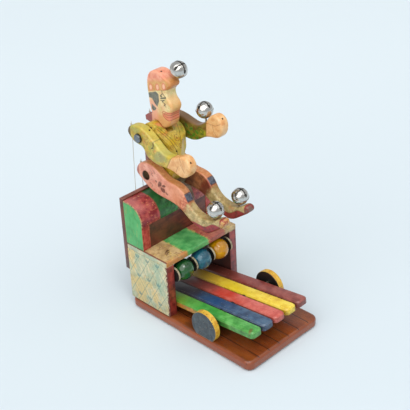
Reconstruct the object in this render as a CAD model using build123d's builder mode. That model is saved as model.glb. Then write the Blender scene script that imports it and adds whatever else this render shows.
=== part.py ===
from build123d import *
import os
from math import acos, atan2, cos, degrees, hypot, radians, sin, tan

# A key-operated wooden toy: five finger keys on one axle lift their rear ends, pull five
# strings and so raise the arms, legs and head of a seated jester. Millimetres, +Z up,
# the keys point to -Y, and the origin is the middle of the base's underside.

# ---------------------------------------------------------------- driving dimensions
# base board
base_length = 198.6
base_margin = 1.8
base_thickness = 13.0
base_corner_radius = 9.0
base_edge_radius = 4.0

# box: side walls, shelf and the upper housing
box_depth = 68.4
wall_thickness = 12.0
wall_height = 69.6
wall_edge_radius = 1.2
ledge_thickness = 7.2
ledge_edge_radius = 1.6
housing_height = 57.7
housing_depth = 29.7
housing_radius = 22.5
lid_thickness = 1.6
lid_drop = 25.5
recess_board_thickness = 6.0
recess_board_gap = 0.4
recess_board_overlap = 3.0
panel_thickness = 6.2
panel_bottom_drop = 30.6
panel_rise = 1.6
post_width = 26.0
post_height = 66.0

# keys and their axle
key_count = 5
key_width = 17.3
key_thickness = 9.0
key_gap = 1.65
key_wall_gap = 0.75
key_fan_step = 0.55
key_slope = 6.84
key_front_reach = 67.0
key_end_gap = 1.4
key_corner_radius = 5.5
key_chamfer = 1.6
key_axle_setback = 57.4
key_axle_height = 19.05
key_axle_radius = 2.0
running_clearance = 0.08
pivot_block_radius = 19.5
pivot_block_thickness = 8.0
pivot_block_gap = 4.45
pivot_block_height = 14.0
pivot_block_edge_radius = 1.0
pivot_block_bore_depth = 5.0
washer_radius = 4.0
washer_gap = 0.32
felt_thickness = 0.6
felt_depth = 12.0
felt_inset = 12.8
felt_end_gap = 1.0

# roller of balls and discs
roller_inset = 3.1
roller_top_gap = 3.8
roller_side_gap = 1.0
roller_rod_radius = 1.6
roller_bore_depth = 5.0
roller_end_gap = 0.4
ball_count = 3
ball_radius = 12.8
disc_radius = 9.2
disc_thickness = 2.4

# figure: the drawing's own place for the seat's rear edge, then each pivot behind and above that edge
drawn_back_y = 99.3
drawn_seat_z = 147.5
hip_setback = 7.8
hip_height = 23.5
shoulder_setback = 8.3
shoulder_height = 74.5
neck_setback = 13.3
neck_height = 82.5
neck_slot_height = 77.2
leg_thickness = 12.0
arm_thickness = 12.6
head_thickness = 17.0
neck_thickness = 9.0
torso_half_width = 19.2
torso_depth = 40.3
torso_side_depth = 19.3
pelvis_half_width = 13.4
limb_edge_radius = 3.0
head_edge_radius = 3.0
right_arm_drop = 24.6
pin_radius = 1.5
pin_head_radius = 5.0
pin_head_thickness = 2.2
pin_head_round = 0.7
fibre_washer_radius = 5.6
fibre_washer_thickness = 0.8
tack_radius = 6.0
tack_height = 3.0
tack_bore_depth = 1.0
neck_pin_inset = 2.0
side_gap = 0.3
leg_gap = 0.6
arm_gap = 0.8

# strings: a tail hole in each limb, a guide strip, a low rod, then the key's end
string_radius = 0.35
string_hole_radius = 0.8
leg_tail_radius = 15.3
leg_tail_angle = 11.0
arm_tail_radius = 16.0
arm_tail_angle = 14.0
head_tail_radius = 20.7
head_tail_angle = 6.0
leg_string_inset = 6.0
arm_string_inset = 8.5
guide_height = 6.0
guide_depth = 5.0
guide_half_length = 43.0
low_rod_radius = 2.0
low_rod_inset = 8.3
low_rod_height = 3.1
low_rod_bore_depth = 5.0
string_key_height = 8.0
string_key_depth = 4.0
string_key_spare = 3.0
guide_lift = 1.0
string_end_gap = 0.05

# jingle bells
bell_radius = 10.0
bell_wall = 0.8
bell_seam = 0.4
bell_seam_height = 1.0
bell_slot = 1.6
bell_slot_reach = 7.6
bell_hole_radius = 1.6
bell_shank_radius = 1.2
bell_shank_length = 6.0
pellet_radius = 2.6
pellet_gap = 0.2

# screws
screw_radius = 1.4
screw_head_radius = 3.0
screw_head_height = 1.3
screw_depth = 8.0
screw_head_round = 0.9

# ---------------------------------------------------------------- derived places
base_top = base_thickness
box_back = base_length / 2
box_front = box_back - box_depth
key_pitch = key_width + key_gap
key_axle_y = box_front - key_axle_setback
key_axle_z = base_top + key_axle_height

def key_x(index, y):
    """Middle of a key at depth y; the keys fan out a little towards the front."""
    return index * key_pitch - (y - key_axle_y) * tan(radians(index * key_fan_step))

outer_key = (key_count - 1) / 2
box_inner = key_x(outer_key, box_front) + key_width / 2 + key_wall_gap
box_half = box_inner + wall_thickness
box_width = 2 * box_half
base_width = box_width + 2 * base_margin
pivot_block_inner_x = outer_key * key_pitch + key_width / 2 + pivot_block_gap
ledge_bottom = base_top + wall_height
ledge_top = ledge_bottom + ledge_thickness
housing_front = box_back - housing_depth
housing_top = ledge_top + housing_height
lid_front = housing_front - lid_thickness
lid_arc_y = lid_front + housing_radius
lid_arc_z = housing_top - housing_radius
lid_bottom = housing_top - lid_drop
panel_back = box_back + panel_thickness
panel_bottom = ledge_bottom - panel_bottom_drop
panel_top = housing_top + panel_rise
post_top = panel_top + post_height
roller_y = box_front + roller_inset
roller_z = ledge_bottom - roller_top_gap - ball_radius
disc_end = box_inner - roller_side_gap - disc_thickness / 2
ball_pitch = 2 * disc_end / ball_count
felt_rear_y = box_back - felt_inset
guide_z = panel_bottom + guide_lift
low_rod_y = box_back - low_rod_inset
low_rod_z = base_top + low_rod_height
string_turn_radius = low_rod_radius + string_radius + string_end_gap
string_key_y = low_rod_y - string_turn_radius
string_key_z = base_top + string_key_height
key_rear_reach = (string_key_y - key_end_gap - key_axle_y) / cos(radians(key_slope))

hip_y, hip_z = box_back - hip_setback, housing_top + hip_height
shoulder_y, shoulder_z = box_back - shoulder_setback, housing_top + shoulder_height
neck_y, neck_z = box_back - neck_setback, housing_top + neck_height
neck_slot_floor = housing_top + neck_slot_height
leg_inner_x = pelvis_half_width + leg_gap
arm_inner_x = torso_half_width + arm_gap
leg_outer_x = leg_inner_x + leg_thickness
arm_outer_x = arm_inner_x + arm_thickness
leg_string_x = leg_inner_x + leg_string_inset
arm_string_x = arm_inner_x + arm_string_inset

def placed(points):
    """Points of the figure's drawing, moved with the seat."""
    return [(y - drawn_back_y + box_back, z - drawn_seat_z + housing_top) for y, z in points]

def tail_hole(pivot_y, pivot_z, radius, angle):
    """Centre of a limb's string hole, behind its pivot."""
    return pivot_y + radius * cos(radians(angle)), pivot_z + radius * sin(radians(angle))

leg_tail = tail_hole(hip_y, hip_z, leg_tail_radius, leg_tail_angle)
arm_tail = tail_hole(shoulder_y, shoulder_z, arm_tail_radius, arm_tail_angle)
head_tail = tail_hole(neck_y, neck_z, head_tail_radius, head_tail_angle)

def turned(points, pivot_y, pivot_z, raise_angle):
    """Outline points turned about a pivot, the front going up by raise_angle."""
    c, s = cos(radians(raise_angle)), sin(radians(raise_angle))
    return [
        (pivot_y + (y - pivot_y) * c + (z - pivot_z) * s,
         pivot_z - (y - pivot_y) * s + (z - pivot_z) * c)
        for y, z in points
    ]

pieces = {}

# ---------------------------------------------------------------- base and box
with BuildPart() as base_board:
    with BuildSketch():
        RectangleRounded(base_width, base_length, base_corner_radius)
    extrude(amount=base_thickness)
    rims = base_board.faces().filter_by(Axis.Z).edges()
    fillet(rims, base_edge_radius)
pieces["base_board"] = base_board

def make_side_wall(side):
    inner = side * box_inner
    with BuildPart() as wall:
        with BuildSketch(Plane.YZ.offset(min(inner, side * box_half))):
            with Locations(((box_front + box_back) / 2, base_top + wall_height / 2)):
                Rectangle(box_depth, wall_height)
        extrude(amount=wall_thickness)
        fillet(wall.edges().filter_by(Axis.Z).group_by(Axis.Y)[0], wall_edge_radius)
        with Locations(Location((inner, roller_y, roller_z), (0, 90 * side, 0))):
            Hole(roller_rod_radius + running_clearance, depth=roller_bore_depth + roller_end_gap)
        with Locations(Location((inner, low_rod_y, low_rod_z), (0, 90 * side, 0))):
            Hole(low_rod_radius, depth=low_rod_bore_depth)
    return wall

pieces["side_wall_left"] = make_side_wall(-1)
pieces["side_wall_right"] = make_side_wall(1)

with BuildPart() as ledge_board:
    with BuildSketch(Plane.XY.offset(ledge_bottom)):
        with Locations((0, (box_front + box_back) / 2)):
            Rectangle(box_width, box_depth)
    extrude(amount=ledge_thickness)
    top_rim = ledge_board.faces().sort_by(Axis.Z)[-1].edges().filter_by(
        lambda edge: edge.center().Y < box_back - 1)
    fillet(top_rim, ledge_edge_radius)
pieces["ledge_board"] = ledge_board

def make_cheek(side):
    top = housing_top - lid_thickness
    with BuildPart() as cheek:
        with BuildSketch(Plane.YZ.offset(min(side * box_inner, side * box_half))):
            with BuildLine():
                Line((box_back, ledge_top), (housing_front, ledge_top))
                Line((housing_front, ledge_top), (housing_front, lid_arc_z))
                CenterArc((lid_arc_y, lid_arc_z), housing_radius - lid_thickness, 180, -90)
                Line((lid_arc_y, top), (box_back, top))
                Line((box_back, top), (box_back, ledge_top))
            make_face()
        extrude(amount=wall_thickness)
    return cheek

pieces["upper_cheek_left"] = make_cheek(-1)
pieces["upper_cheek_right"] = make_cheek(1)

with BuildPart() as curved_lid:
    with BuildSketch(Plane.YZ.offset(-box_half)):
        with BuildLine():
            Line((lid_front, lid_bottom), (lid_front, lid_arc_z))
            CenterArc((lid_arc_y, lid_arc_z), housing_radius, 180, -90)
            Line((lid_arc_y, housing_top), (box_back, housing_top))
            Line((box_back, housing_top), (box_back, housing_top - lid_thickness))
            Line((box_back, housing_top - lid_thickness), (lid_arc_y, housing_top - lid_thickness))
            CenterArc((lid_arc_y, lid_arc_z), housing_radius - lid_thickness, 90, 90)
            Line((housing_front, lid_arc_z), (housing_front, lid_bottom))
            Line((housing_front, lid_bottom), (lid_front, lid_bottom))
        make_face()
    extrude(amount=box_width)
pieces["curved_lid"] = curved_lid

with BuildPart() as recess_board:
    board_height = lid_bottom + recess_board_overlap - ledge_top
    board_y = housing_front + recess_board_gap + recess_board_thickness / 2
    with Locations((0, board_y, ledge_top + board_height / 2)):
        Box(2 * box_inner, recess_board_thickness, board_height)
pieces["recess_board"] = recess_board

panel_screws = [(side * (box_half - wall_thickness / 2), z)
                for side in (-1, 1) for z in (panel_bottom + 10.0, ledge_top + 12.2, housing_top - 9.5)]
torso_screws = [(-7.0, housing_top + 42.5), (7.0, housing_top + 56.5)]

with BuildPart() as back_panel:
    with BuildSketch(Plane.XZ.offset(-box_back)):
        with BuildLine():
            Polyline(
                (-box_half, panel_bottom), (box_half, panel_bottom),
                (box_half, panel_top), (post_width / 2, panel_top), (post_width / 2, post_top),
                (-post_width / 2, post_top), (-post_width / 2, panel_top), (-box_half, panel_top),
                close=True)
        make_face()
    extrude(amount=-panel_thickness)
    with Locations(*[Location((x, panel_back, z), (-90, 0, 0)) for x, z in panel_screws + torso_screws]):
        Hole(screw_radius, depth=panel_thickness)
pieces["back_panel"] = back_panel

def drill_screws(places):
    """Pilot holes for screws that come through the back panel."""
    with Locations(*[Location((x, box_back, z), (-90, 0, 0)) for x, z in places]):
        Cylinder(screw_radius, 2 * screw_depth, mode=Mode.SUBTRACT)

def make_screws(places):
    with BuildPart() as screws:
        for x, z in places:
            with BuildSketch(Plane((x, panel_back, z), x_dir=(1, 0, 0), z_dir=(0, 1, 0))):
                Circle(screw_head_radius)
            extrude(amount=screw_head_height)
            with BuildSketch(Plane((x, panel_back, z), x_dir=(1, 0, 0), z_dir=(0, -1, 0))):
                Circle(screw_radius)
            extrude(amount=panel_thickness + screw_depth)
        fillet(screws.faces().sort_by(Axis.Y)[-len(places):].edges(), screw_head_round)
    return screws

for side, name in ((-1, "left"), (1, "right")):
    for kind in ("side_wall", "upper_cheek"):
        with BuildPart() as drilled:
            add(pieces[f"{kind}_{name}"].part)
            drill_screws([(x, z) for x, z in panel_screws if x * side > 0])
        pieces[f"{kind}_{name}"] = drilled
pieces["panel_screws"] = make_screws(panel_screws)
pieces["torso_screws"] = make_screws(torso_screws)

# ---------------------------------------------------------------- keys
def make_key(index):
    fan, slope = radians(index * key_fan_step), radians(key_slope)
    plane = Plane(
        origin=(index * key_pitch, key_axle_y, key_axle_z),
        x_dir=(cos(fan), sin(fan), 0),
        z_dir=(-sin(fan) * sin(slope), cos(fan) * sin(slope), cos(slope)))
    with BuildPart() as key:
        with BuildSketch(plane) as outline:
            with Locations((0, (key_rear_reach - key_front_reach) / 2)):
                Rectangle(key_width, key_rear_reach + key_front_reach)
            front_corners = outline.vertices().sort_by(Axis.Y)[:2]
            fillet(front_corners, key_corner_radius)
        extrude(amount=key_thickness / 2, both=True)
        chamfer(key.faces().sort_by(Axis.Z)[-1].edges(), key_chamfer)
        with Locations(Location((index * key_pitch, key_axle_y, key_axle_z), (0, 90, 0))):
            Cylinder(key_axle_radius + running_clearance, 2 * key_width, mode=Mode.SUBTRACT)
        with Locations(Location((key_x(index, string_key_y), string_key_y, string_key_z), (90, 0, 0))):
            Cylinder(string_hole_radius, 2 * (string_key_depth + string_key_spare), mode=Mode.SUBTRACT)
    return key

key_names = ["green", "blue", "red", "yellow", "maroon"]
for index, name in zip(range(-2, 3), key_names):
    pieces[f"key_{name}"] = make_key(index)

def make_pivot_block(side):
    inner = side * pivot_block_inner_x
    centre_z = base_top + pivot_block_height
    with BuildPart() as block:
        with BuildSketch(Plane.YZ.offset(min(inner, inner + side * pivot_block_thickness))):
            with Locations((key_axle_y, centre_z)):
                Circle(pivot_block_radius)
            with Locations((key_axle_y, base_top - pivot_block_radius / 2)):
                Rectangle(2 * pivot_block_radius, pivot_block_radius, mode=Mode.SUBTRACT)
        extrude(amount=pivot_block_thickness)
        fillet(block.edges().filter_by(GeomType.CIRCLE), pivot_block_edge_radius)
        with Locations(Location((inner, key_axle_y, key_axle_z), (0, 90 * side, 0))):
            Hole(key_axle_radius, depth=pivot_block_bore_depth)
    return block

pieces["pivot_block_left"] = make_pivot_block(-1)
pieces["pivot_block_right"] = make_pivot_block(1)

def make_rod(radius, half_length, y, z):
    with BuildPart() as rod:
        with BuildSketch(Plane.YZ.offset(-half_length)):
            with Locations((y, z)):
                Circle(radius)
        extrude(amount=2 * half_length)
    return rod

pieces["key_axle"] = make_rod(
    key_axle_radius, pivot_block_inner_x + pivot_block_bore_depth, key_axle_y, key_axle_z)

with BuildPart() as key_washers:
    washer_thickness = key_pitch - key_width - 2 * washer_gap
    for gap in range(key_count - 1):
        middle = (gap + 0.5 - outer_key) * key_pitch
        with BuildSketch(Plane.YZ.offset(middle - washer_thickness / 2)):
            with Locations((key_axle_y, key_axle_z)):
                Circle(washer_radius)
                Circle(key_axle_radius, mode=Mode.SUBTRACT)
        extrude(amount=washer_thickness)
pieces["key_washers"] = key_washers

with BuildPart() as rest_felt:
    with Locations((0, felt_rear_y - felt_depth / 2, base_top + felt_thickness / 2)):
        Box(2 * (box_inner - felt_end_gap), felt_depth, felt_thickness)
pieces["rest_felt"] = rest_felt

# ---------------------------------------------------------------- roller
pieces["roller_rod"] = make_rod(
    roller_rod_radius, box_inner + roller_bore_depth, roller_y, roller_z)

def make_ball(index):
    with BuildPart() as ball:
        with Locations(Location((index * ball_pitch, roller_y, roller_z), (0, 90, 0))):
            Sphere(ball_radius)
            Cylinder(roller_rod_radius, 3 * ball_radius, mode=Mode.SUBTRACT)
    return ball

for index, name in zip((-1, 0, 1), ("green", "blue", "yellow")):
    pieces[f"roller_ball_{name}"] = make_ball(index)

with BuildPart() as roller_discs:
    for middle in (-disc_end, -ball_pitch / 2, ball_pitch / 2, disc_end):
        with BuildSketch(Plane.YZ.offset(middle - disc_thickness / 2)):
            with Locations((roller_y, roller_z)):
                Circle(disc_radius)
                Circle(roller_rod_radius, mode=Mode.SUBTRACT)
        extrude(amount=disc_thickness)
pieces["roller_discs"] = roller_discs

# ---------------------------------------------------------------- figure: torso and pelvis
seat_z = housing_top
hem_z = seat_z + 23.5
waist_z = seat_z + 35.5
torso_front = box_back - torso_depth
torso_side_front = box_back - torso_side_depth
waist_y, hem_y = box_back - 19.3, box_back - 32.3
side_low_z, side_mid_z, side_top_z = seat_z + 46.5, seat_z + 58.5, seat_z + 78.5
shoulder_cut = 7.0

with BuildPart() as pelvis:
    with BuildSketch(Plane.YZ.offset(-pelvis_half_width)):
        with BuildLine():
            Polyline(
                (box_back, seat_z), (box_back, waist_z), (waist_y, waist_z), (hem_y, hem_z),
                *placed([(66, 158), (72, 149)]), (lid_arc_y - 4, seat_z + 0.1), (lid_arc_y, seat_z),
                close=True)
        make_face()
    extrude(amount=2 * pelvis_half_width)
    with Locations(Location((0, hip_y, hip_z), (0, 90, 0))):
        Cylinder(pin_radius, 4 * pelvis_half_width, mode=Mode.SUBTRACT)
pieces["pelvis"] = pelvis

with BuildPart() as torso:
    with BuildSketch(Plane.YZ.offset(-torso_half_width)):
        with BuildLine():
            chest = placed([(drawn_back_y, 227), (95.5, 233), (87, 235), (77, 229.5), (66.5, 219),
                            (60.5, 206), (59.5, 190), (61.5, 178), (63, 171)])
            Line((waist_y, waist_z), (box_back, waist_z))
            Line((box_back, waist_z), chest[0])
            Spline(*chest)
            Line(chest[-1], (hem_y, hem_z))
            Line((hem_y, hem_z), (waist_y, waist_z))
        make_face()
    extrude(amount=2 * torso_half_width)
    with BuildSketch(Plane.XZ):
        with BuildLine():
            Polyline(
                (-pelvis_half_width, seat_z), (pelvis_half_width, seat_z), (pelvis_half_width, side_low_z),
                (torso_half_width, side_mid_z), (torso_half_width, side_top_z),
                (torso_half_width - shoulder_cut, side_top_z + 2 * shoulder_cut),
                (-torso_half_width + shoulder_cut, side_top_z + 2 * shoulder_cut),
                (-torso_half_width, side_top_z), (-torso_half_width, side_mid_z),
                (-pelvis_half_width, side_low_z), close=True)
        make_face()
    extrude(amount=-2 * box_back, mode=Mode.INTERSECT)
    with BuildSketch(Plane.XY.offset(hem_z - 1)):
        with BuildLine():
            Line((-torso_half_width, box_back), (-torso_half_width, torso_side_front))
            Spline((-torso_half_width, torso_side_front), (-0.7 * torso_half_width, torso_front + 6),
                   (0, torso_front), (0.7 * torso_half_width, torso_front + 6),
                   (torso_half_width, torso_side_front), tangents=[(0, -1), (0, 1)])
            Line((torso_half_width, torso_side_front), (torso_half_width, box_back))
            Line((torso_half_width, box_back), (-torso_half_width, box_back))
        make_face()
    extrude(amount=housing_depth * 3, mode=Mode.INTERSECT)
    with Locations((0, box_back, neck_slot_floor)):
        Box(neck_thickness + 2 * side_gap, 60, 30, align=(Align.CENTER, Align.CENTER, Align.MIN),
            mode=Mode.SUBTRACT)
    with Locations(Location((0, shoulder_y, shoulder_z), (0, 90, 0)), Location((0, neck_y, neck_z), (0, 90, 0))):
        Cylinder(pin_radius, 4 * torso_half_width, mode=Mode.SUBTRACT)
    drill_screws(torso_screws)
pieces["torso"] = torso

# ---------------------------------------------------------------- figure: limbs
def make_limb(points, inner_x, thickness, side, pivot, tail, tail_x):
    """A sawn limb: closed outline in the side view, rounded edges, pin hole and string hole."""
    with BuildPart() as limb:
        with BuildSketch(Plane.YZ.offset(min(side * inner_x, side * (inner_x + thickness)))):
            with BuildLine():
                Spline(*points, periodic=True)
            make_face()
        extrude(amount=thickness)
        flat_faces = limb.faces().filter_by(Axis.X)
        fillet(flat_faces.edges(), limb_edge_radius)
        with Locations(Location((0, pivot[0], pivot[1]), (0, 90, 0))):
            Cylinder(pin_radius + running_clearance, 4 * (inner_x + thickness), mode=Mode.SUBTRACT)
        with Locations((side * tail_x, tail[0], tail[1])):
            Cylinder(string_hole_radius, 4 * thickness, mode=Mode.SUBTRACT)
    return limb

leg_tail_outline = [(109.4, 173.6), (104.5, 181.5), (92, 187)]
leg_front_outline = [
    (75, 184.5), (58, 176), (42, 174.5), (30, 168.5), (21, 155.5), (8, 148), (-7, 147.5), (-17, 150.2),
    (-27.4, 155.6), (-31.9, 154.5), (-33.1, 150.4), (-31.2, 147.4), (-24, 141.6), (-14, 134.5), (-2, 128.8), (10, 131), (23, 137),
    (37, 145.5), (54, 149.3), (72, 150.3)]
leg_back_outline = [(88, 154.5), (101, 162.5)]
leg_outline = placed(leg_tail_outline + leg_front_outline + leg_back_outline)

arm_tail_outline = [(110.8, 225.5), (108.2, 231), (102, 234.5)]
arm_front_outline = [
    (91, 236), (76, 235), (62, 231.8), (51, 231), (42, 235), (35, 240.3), (29.5, 247), (21, 251.2),
    (12, 246.8), (9.8, 235.5), (16, 225), (27, 222), (39, 218.5), (49, 212.5), (61, 208.8), (74, 209)]
arm_back_outline = [(86, 210.5), (97, 213), (107, 218.8)]

def arm_outline(drop):
    front = turned(placed(arm_front_outline), shoulder_y, shoulder_z, -drop)
    return placed(arm_tail_outline) + front + placed(arm_back_outline)

leg_mid_x = leg_inner_x + leg_thickness / 2
arm_mid_x = arm_inner_x + arm_thickness / 2
foot_bell = placed([(-15.7, 162.0)])[0]
foot_bell_lean = 12.0
hand_bell = placed([(41.5, 250.5)])[0]
hand_bell_lean = -6.0
hat_bell = placed([(58.2, 301.4)])[0]
hat_bell_lean = 37.0
hat_bell_x = 6.0

def shank_plane(x, centre, lean):
    """Plane at a bell's centre whose Z runs down its shank, leaning forward by lean degrees."""
    return Plane((x, centre[0], centre[1]), x_dir=(1, 0, 0),
                 z_dir=(0, sin(radians(lean)), -cos(radians(lean))))

def drill_shank(limb, x, centre, lean):
    """The limb with a blind hole for a bell's shank."""
    with BuildPart() as drilled:
        add(limb.part)
        with BuildSketch(shank_plane(x, centre, lean).offset(bell_radius - bell_wall)):
            Circle(bell_shank_radius)
        extrude(amount=bell_wall + bell_shank_length, mode=Mode.SUBTRACT)
    return drilled

with BuildPart() as plain_bell:
    Sphere(bell_radius)
    with BuildSketch(Plane.XY.offset(-bell_seam_height / 2)):
        Circle(bell_radius + bell_seam)
    extrude(amount=bell_seam_height)
    Sphere(bell_radius - bell_wall, mode=Mode.SUBTRACT)
    with Locations((0, 0, -bell_radius)):
        Box(2 * bell_slot_reach, bell_slot, bell_radius, mode=Mode.SUBTRACT)
        Box(bell_slot, 2 * bell_slot_reach, bell_radius, mode=Mode.SUBTRACT)
    for turn in range(0, 360, 90):
        slot_end = (bell_slot_reach * cos(radians(turn)), bell_slot_reach * sin(radians(turn)))
        with Locations(slot_end):
            Cylinder(bell_hole_radius, 2 * bell_radius, align=(Align.CENTER, Align.CENTER, Align.MAX),
                     mode=Mode.SUBTRACT)
    with Locations((0, 0, bell_radius - bell_wall / 2)):
        Cylinder(bell_shank_radius, bell_shank_length, align=(Align.CENTER, Align.CENTER, Align.MIN))
    with Locations((0, 0, bell_radius - bell_wall - pellet_radius - pellet_gap)):
        Sphere(pellet_radius)

def make_bell(x, centre, lean):
    """Hollow jingle bell with two crossed slots, its shank and a loose pellet."""
    with BuildPart() as bell:
        with Locations(shank_plane(x, centre, lean).location):
            add(plain_bell.part)
    return bell

legs = {side: make_limb(leg_outline, leg_inner_x, leg_thickness, side, (hip_y, hip_z), leg_tail, leg_string_x)
        for side in (-1, 1)}
arms = {side: make_limb(arm_outline(drop), arm_inner_x, arm_thickness, side,
                        (shoulder_y, shoulder_z), arm_tail, arm_string_x)
        for side, drop in ((-1, right_arm_drop), (1, 0.0))}

head_outline = placed([
    (91, 239), (95.5, 250), (97.5, 266), (98.2, 281), (95, 291.5), (87.5, 297.3), (79, 298.5),
    (71.5, 295.8), (65.5, 292.3), (60.2, 289.4), (58.9, 285.4), (61.9, 281.6), (65.7, 276.6),
    (64.8, 269.2), (60.3, 264), (58.3, 258.5), (61.5, 250.5), (63, 241), (67.5, 233.5),
    (75.5, 231), (83, 236)])

with BuildPart() as head:
    with BuildSketch(Plane.YZ.offset(-head_thickness / 2)):
        with BuildLine():
            Spline(*head_outline, periodic=True)
        make_face()
    extrude(amount=head_thickness)
    fillet(head.faces().filter_by(Axis.X).edges(), head_edge_radius)
    with BuildSketch(Plane.YZ.offset(-neck_thickness / 2)):
        with BuildLine():
            Polyline(*placed([(93, 246), (98, 240), (105, 238.5), (109, 235.5), (108.5, 230), (97, 228.5),
                              (88.5, 225.7), (83, 225.7), (78, 231), (77, 242)]), close=True)
        make_face()
    extrude(amount=neck_thickness)
    with Locations(Location((0, neck_y, neck_z), (0, 90, 0))):
        Cylinder(pin_radius + running_clearance, 2 * head_thickness, mode=Mode.SUBTRACT)
    with Locations((0, head_tail[0], head_tail[1])):
        Cylinder(string_hole_radius, head_thickness, mode=Mode.SUBTRACT)

pieces["head"] = drill_shank(head, hat_bell_x, hat_bell, hat_bell_lean)
pieces["arm_right"] = arms[-1]
pieces["arm_left"] = drill_shank(arms[1], arm_mid_x, hand_bell, hand_bell_lean)
pieces["leg_right"] = drill_shank(legs[-1], -leg_mid_x, foot_bell, foot_bell_lean)
pieces["leg_left"] = drill_shank(legs[1], leg_mid_x, foot_bell, foot_bell_lean)
pieces["bell_hat"] = make_bell(hat_bell_x, hat_bell, hat_bell_lean)
pieces["bell_hand"] = make_bell(arm_mid_x, hand_bell, hand_bell_lean)
pieces["bell_foot_right"] = make_bell(-leg_mid_x, foot_bell, foot_bell_lean)
pieces["bell_foot_left"] = make_bell(leg_mid_x, foot_bell, foot_bell_lean)

# ---------------------------------------------------------------- figure: axles
pin_head_x = arm_outer_x + side_gap + fibre_washer_thickness

with BuildPart() as shoulder_axle:
    with BuildSketch(Plane.YZ.offset(-pin_head_x)):
        with Locations((shoulder_y, shoulder_z)):
            Circle(pin_radius)
    extrude(amount=2 * pin_head_x)
    for plane_x in (-pin_head_x - pin_head_thickness, pin_head_x):
        with BuildSketch(Plane.YZ.offset(plane_x)):
            with Locations((shoulder_y, shoulder_z)):
                Circle(pin_head_radius)
        extrude(amount=pin_head_thickness)
    outer_rims = shoulder_axle.faces().filter_by(Axis.X).sort_by(Axis.X)
    fillet(outer_rims[0].edges() + outer_rims[-1].edges(), pin_head_round)
pieces["shoulder_axle"] = shoulder_axle

with BuildPart() as shoulder_washers:
    for plane_x in (-pin_head_x, pin_head_x - fibre_washer_thickness):
        with BuildSketch(Plane.YZ.offset(plane_x)):
            with Locations((shoulder_y, shoulder_z)):
                Circle(fibre_washer_radius)
                Circle(pin_radius, mode=Mode.SUBTRACT)
        extrude(amount=fibre_washer_thickness)
pieces["shoulder_washers"] = shoulder_washers

pieces["hip_axle"] = make_rod(pin_radius, leg_outer_x + side_gap + tack_bore_depth, hip_y, hip_z)
pieces["neck_axle"] = make_rod(pin_radius, torso_half_width - neck_pin_inset, neck_y, neck_z)

with BuildPart() as hip_tacks:
    dome_radius = (tack_radius ** 2 + tack_height ** 2) / (2 * tack_height)
    for side in (-1, 1):
        seat_x = leg_outer_x + side_gap
        plane = Plane((side * seat_x, hip_y, hip_z), x_dir=(0, 1, 0), z_dir=(side, 0, 0))
        with BuildSketch(Plane(plane.origin, x_dir=(side, 0, 0), z_dir=(0, -side, 0))):
            with BuildLine():
                Line((0, 0), (tack_height, 0))
                RadiusArc((tack_height, 0), (0, tack_radius), -dome_radius)
                Line((0, tack_radius), (0, 0))
            make_face()
        revolve(axis=Axis((0, hip_y, hip_z), (1, 0, 0)))
        with Locations(Location((side * seat_x, hip_y, hip_z), (0, 90, 0))):
            Cylinder(pin_radius, 2 * tack_bore_depth, mode=Mode.SUBTRACT)
pieces["hip_tacks"] = hip_tacks

# ---------------------------------------------------------------- strings
string_lanes = {
    "arm_right": (-arm_string_x, -2, arm_tail), "leg_right": (-leg_string_x, -1, leg_tail),
    "head": (0.0, 0, head_tail), "leg_left": (leg_string_x, 1, leg_tail),
    "arm_left": (arm_string_x, 2, arm_tail)}

with BuildPart() as string_guide:
    with BuildSketch(Plane.XY.offset(guide_z)):
        with Locations((0, panel_back + guide_depth / 2)):
            Rectangle(2 * guide_half_length, guide_depth)
        with Locations(*[(key_x(index, string_key_y), tail[0]) for _, index, tail in string_lanes.values()]):
            Circle(string_hole_radius, mode=Mode.SUBTRACT)
    extrude(amount=guide_height)
pieces["string_guide"] = string_guide

pieces["low_string_rod"] = make_rod(low_rod_radius, box_inner + low_rod_bore_depth, low_rod_y, low_rod_z)

def make_limb_string(top_x, index, tail):
    """Straight string from a limb's tail hole down to the guide strip."""
    foot_x = key_x(index, string_key_y)
    top = Vector(top_x, tail[0], tail[1])
    foot = Vector(foot_x, tail[0], guide_z)
    with BuildPart() as string:
        with BuildSketch(Plane(foot, z_dir=top - foot)):
            Circle(string_radius)
        extrude(amount=(top - foot).length)
    return string

for limb, (top_x, index, tail) in string_lanes.items():
    pieces[f"string_{limb}"] = make_limb_string(top_x, index, tail)

def low_run(index, tail):
    """String from the guide strip down to the low rod and half round it, in one upright plane."""
    x = key_x(index, string_key_y)
    start_y, start_z = tail[0], guide_z - string_end_gap
    away = hypot(start_y - low_rod_y, start_z - low_rod_z)
    touch = degrees(atan2(start_z - low_rod_z, start_y - low_rod_y) - acos(string_turn_radius / away))
    touch_y = low_rod_y + string_turn_radius * cos(radians(touch))
    touch_z = low_rod_z + string_turn_radius * sin(radians(touch))
    with BuildPart() as run:
        with BuildLine(Plane.YZ.offset(x)) as route:
            Line((start_y, start_z), (touch_y, touch_z))
            CenterArc((low_rod_y, low_rod_z), string_turn_radius, touch, -180 - touch)
        with BuildSketch(Plane(route.wires()[0] @ 0, z_dir=route.wires()[0] % 0)):
            Circle(string_radius)
        sweep(path=route.wires()[0])
    return run

with BuildPart() as string_low_runs:
    for _, index, tail in string_lanes.values():
        add(low_run(index, tail).part)
pieces["string_low_runs"] = string_low_runs

def make_key_string(index):
    """Short upright run from the low rod to the hole in the key's end."""
    x = key_x(index, string_key_y)
    with BuildPart() as run:
        with BuildLine(Plane.YZ.offset(x)) as route:
            Polyline((string_key_y, low_rod_z), (string_key_y, string_key_z),
                     (string_key_y - string_key_depth, string_key_z))
        with BuildSketch(Plane(route.wires()[0] @ 0, z_dir=route.wires()[0] % 0)):
            Circle(string_radius)
        sweep(path=route.wires()[0], transition=Transition.RIGHT)
    return run

for index, name in zip(range(-2, 3), key_names):
    pieces[f"string_at_key_{name}"] = make_key_string(index)

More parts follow.
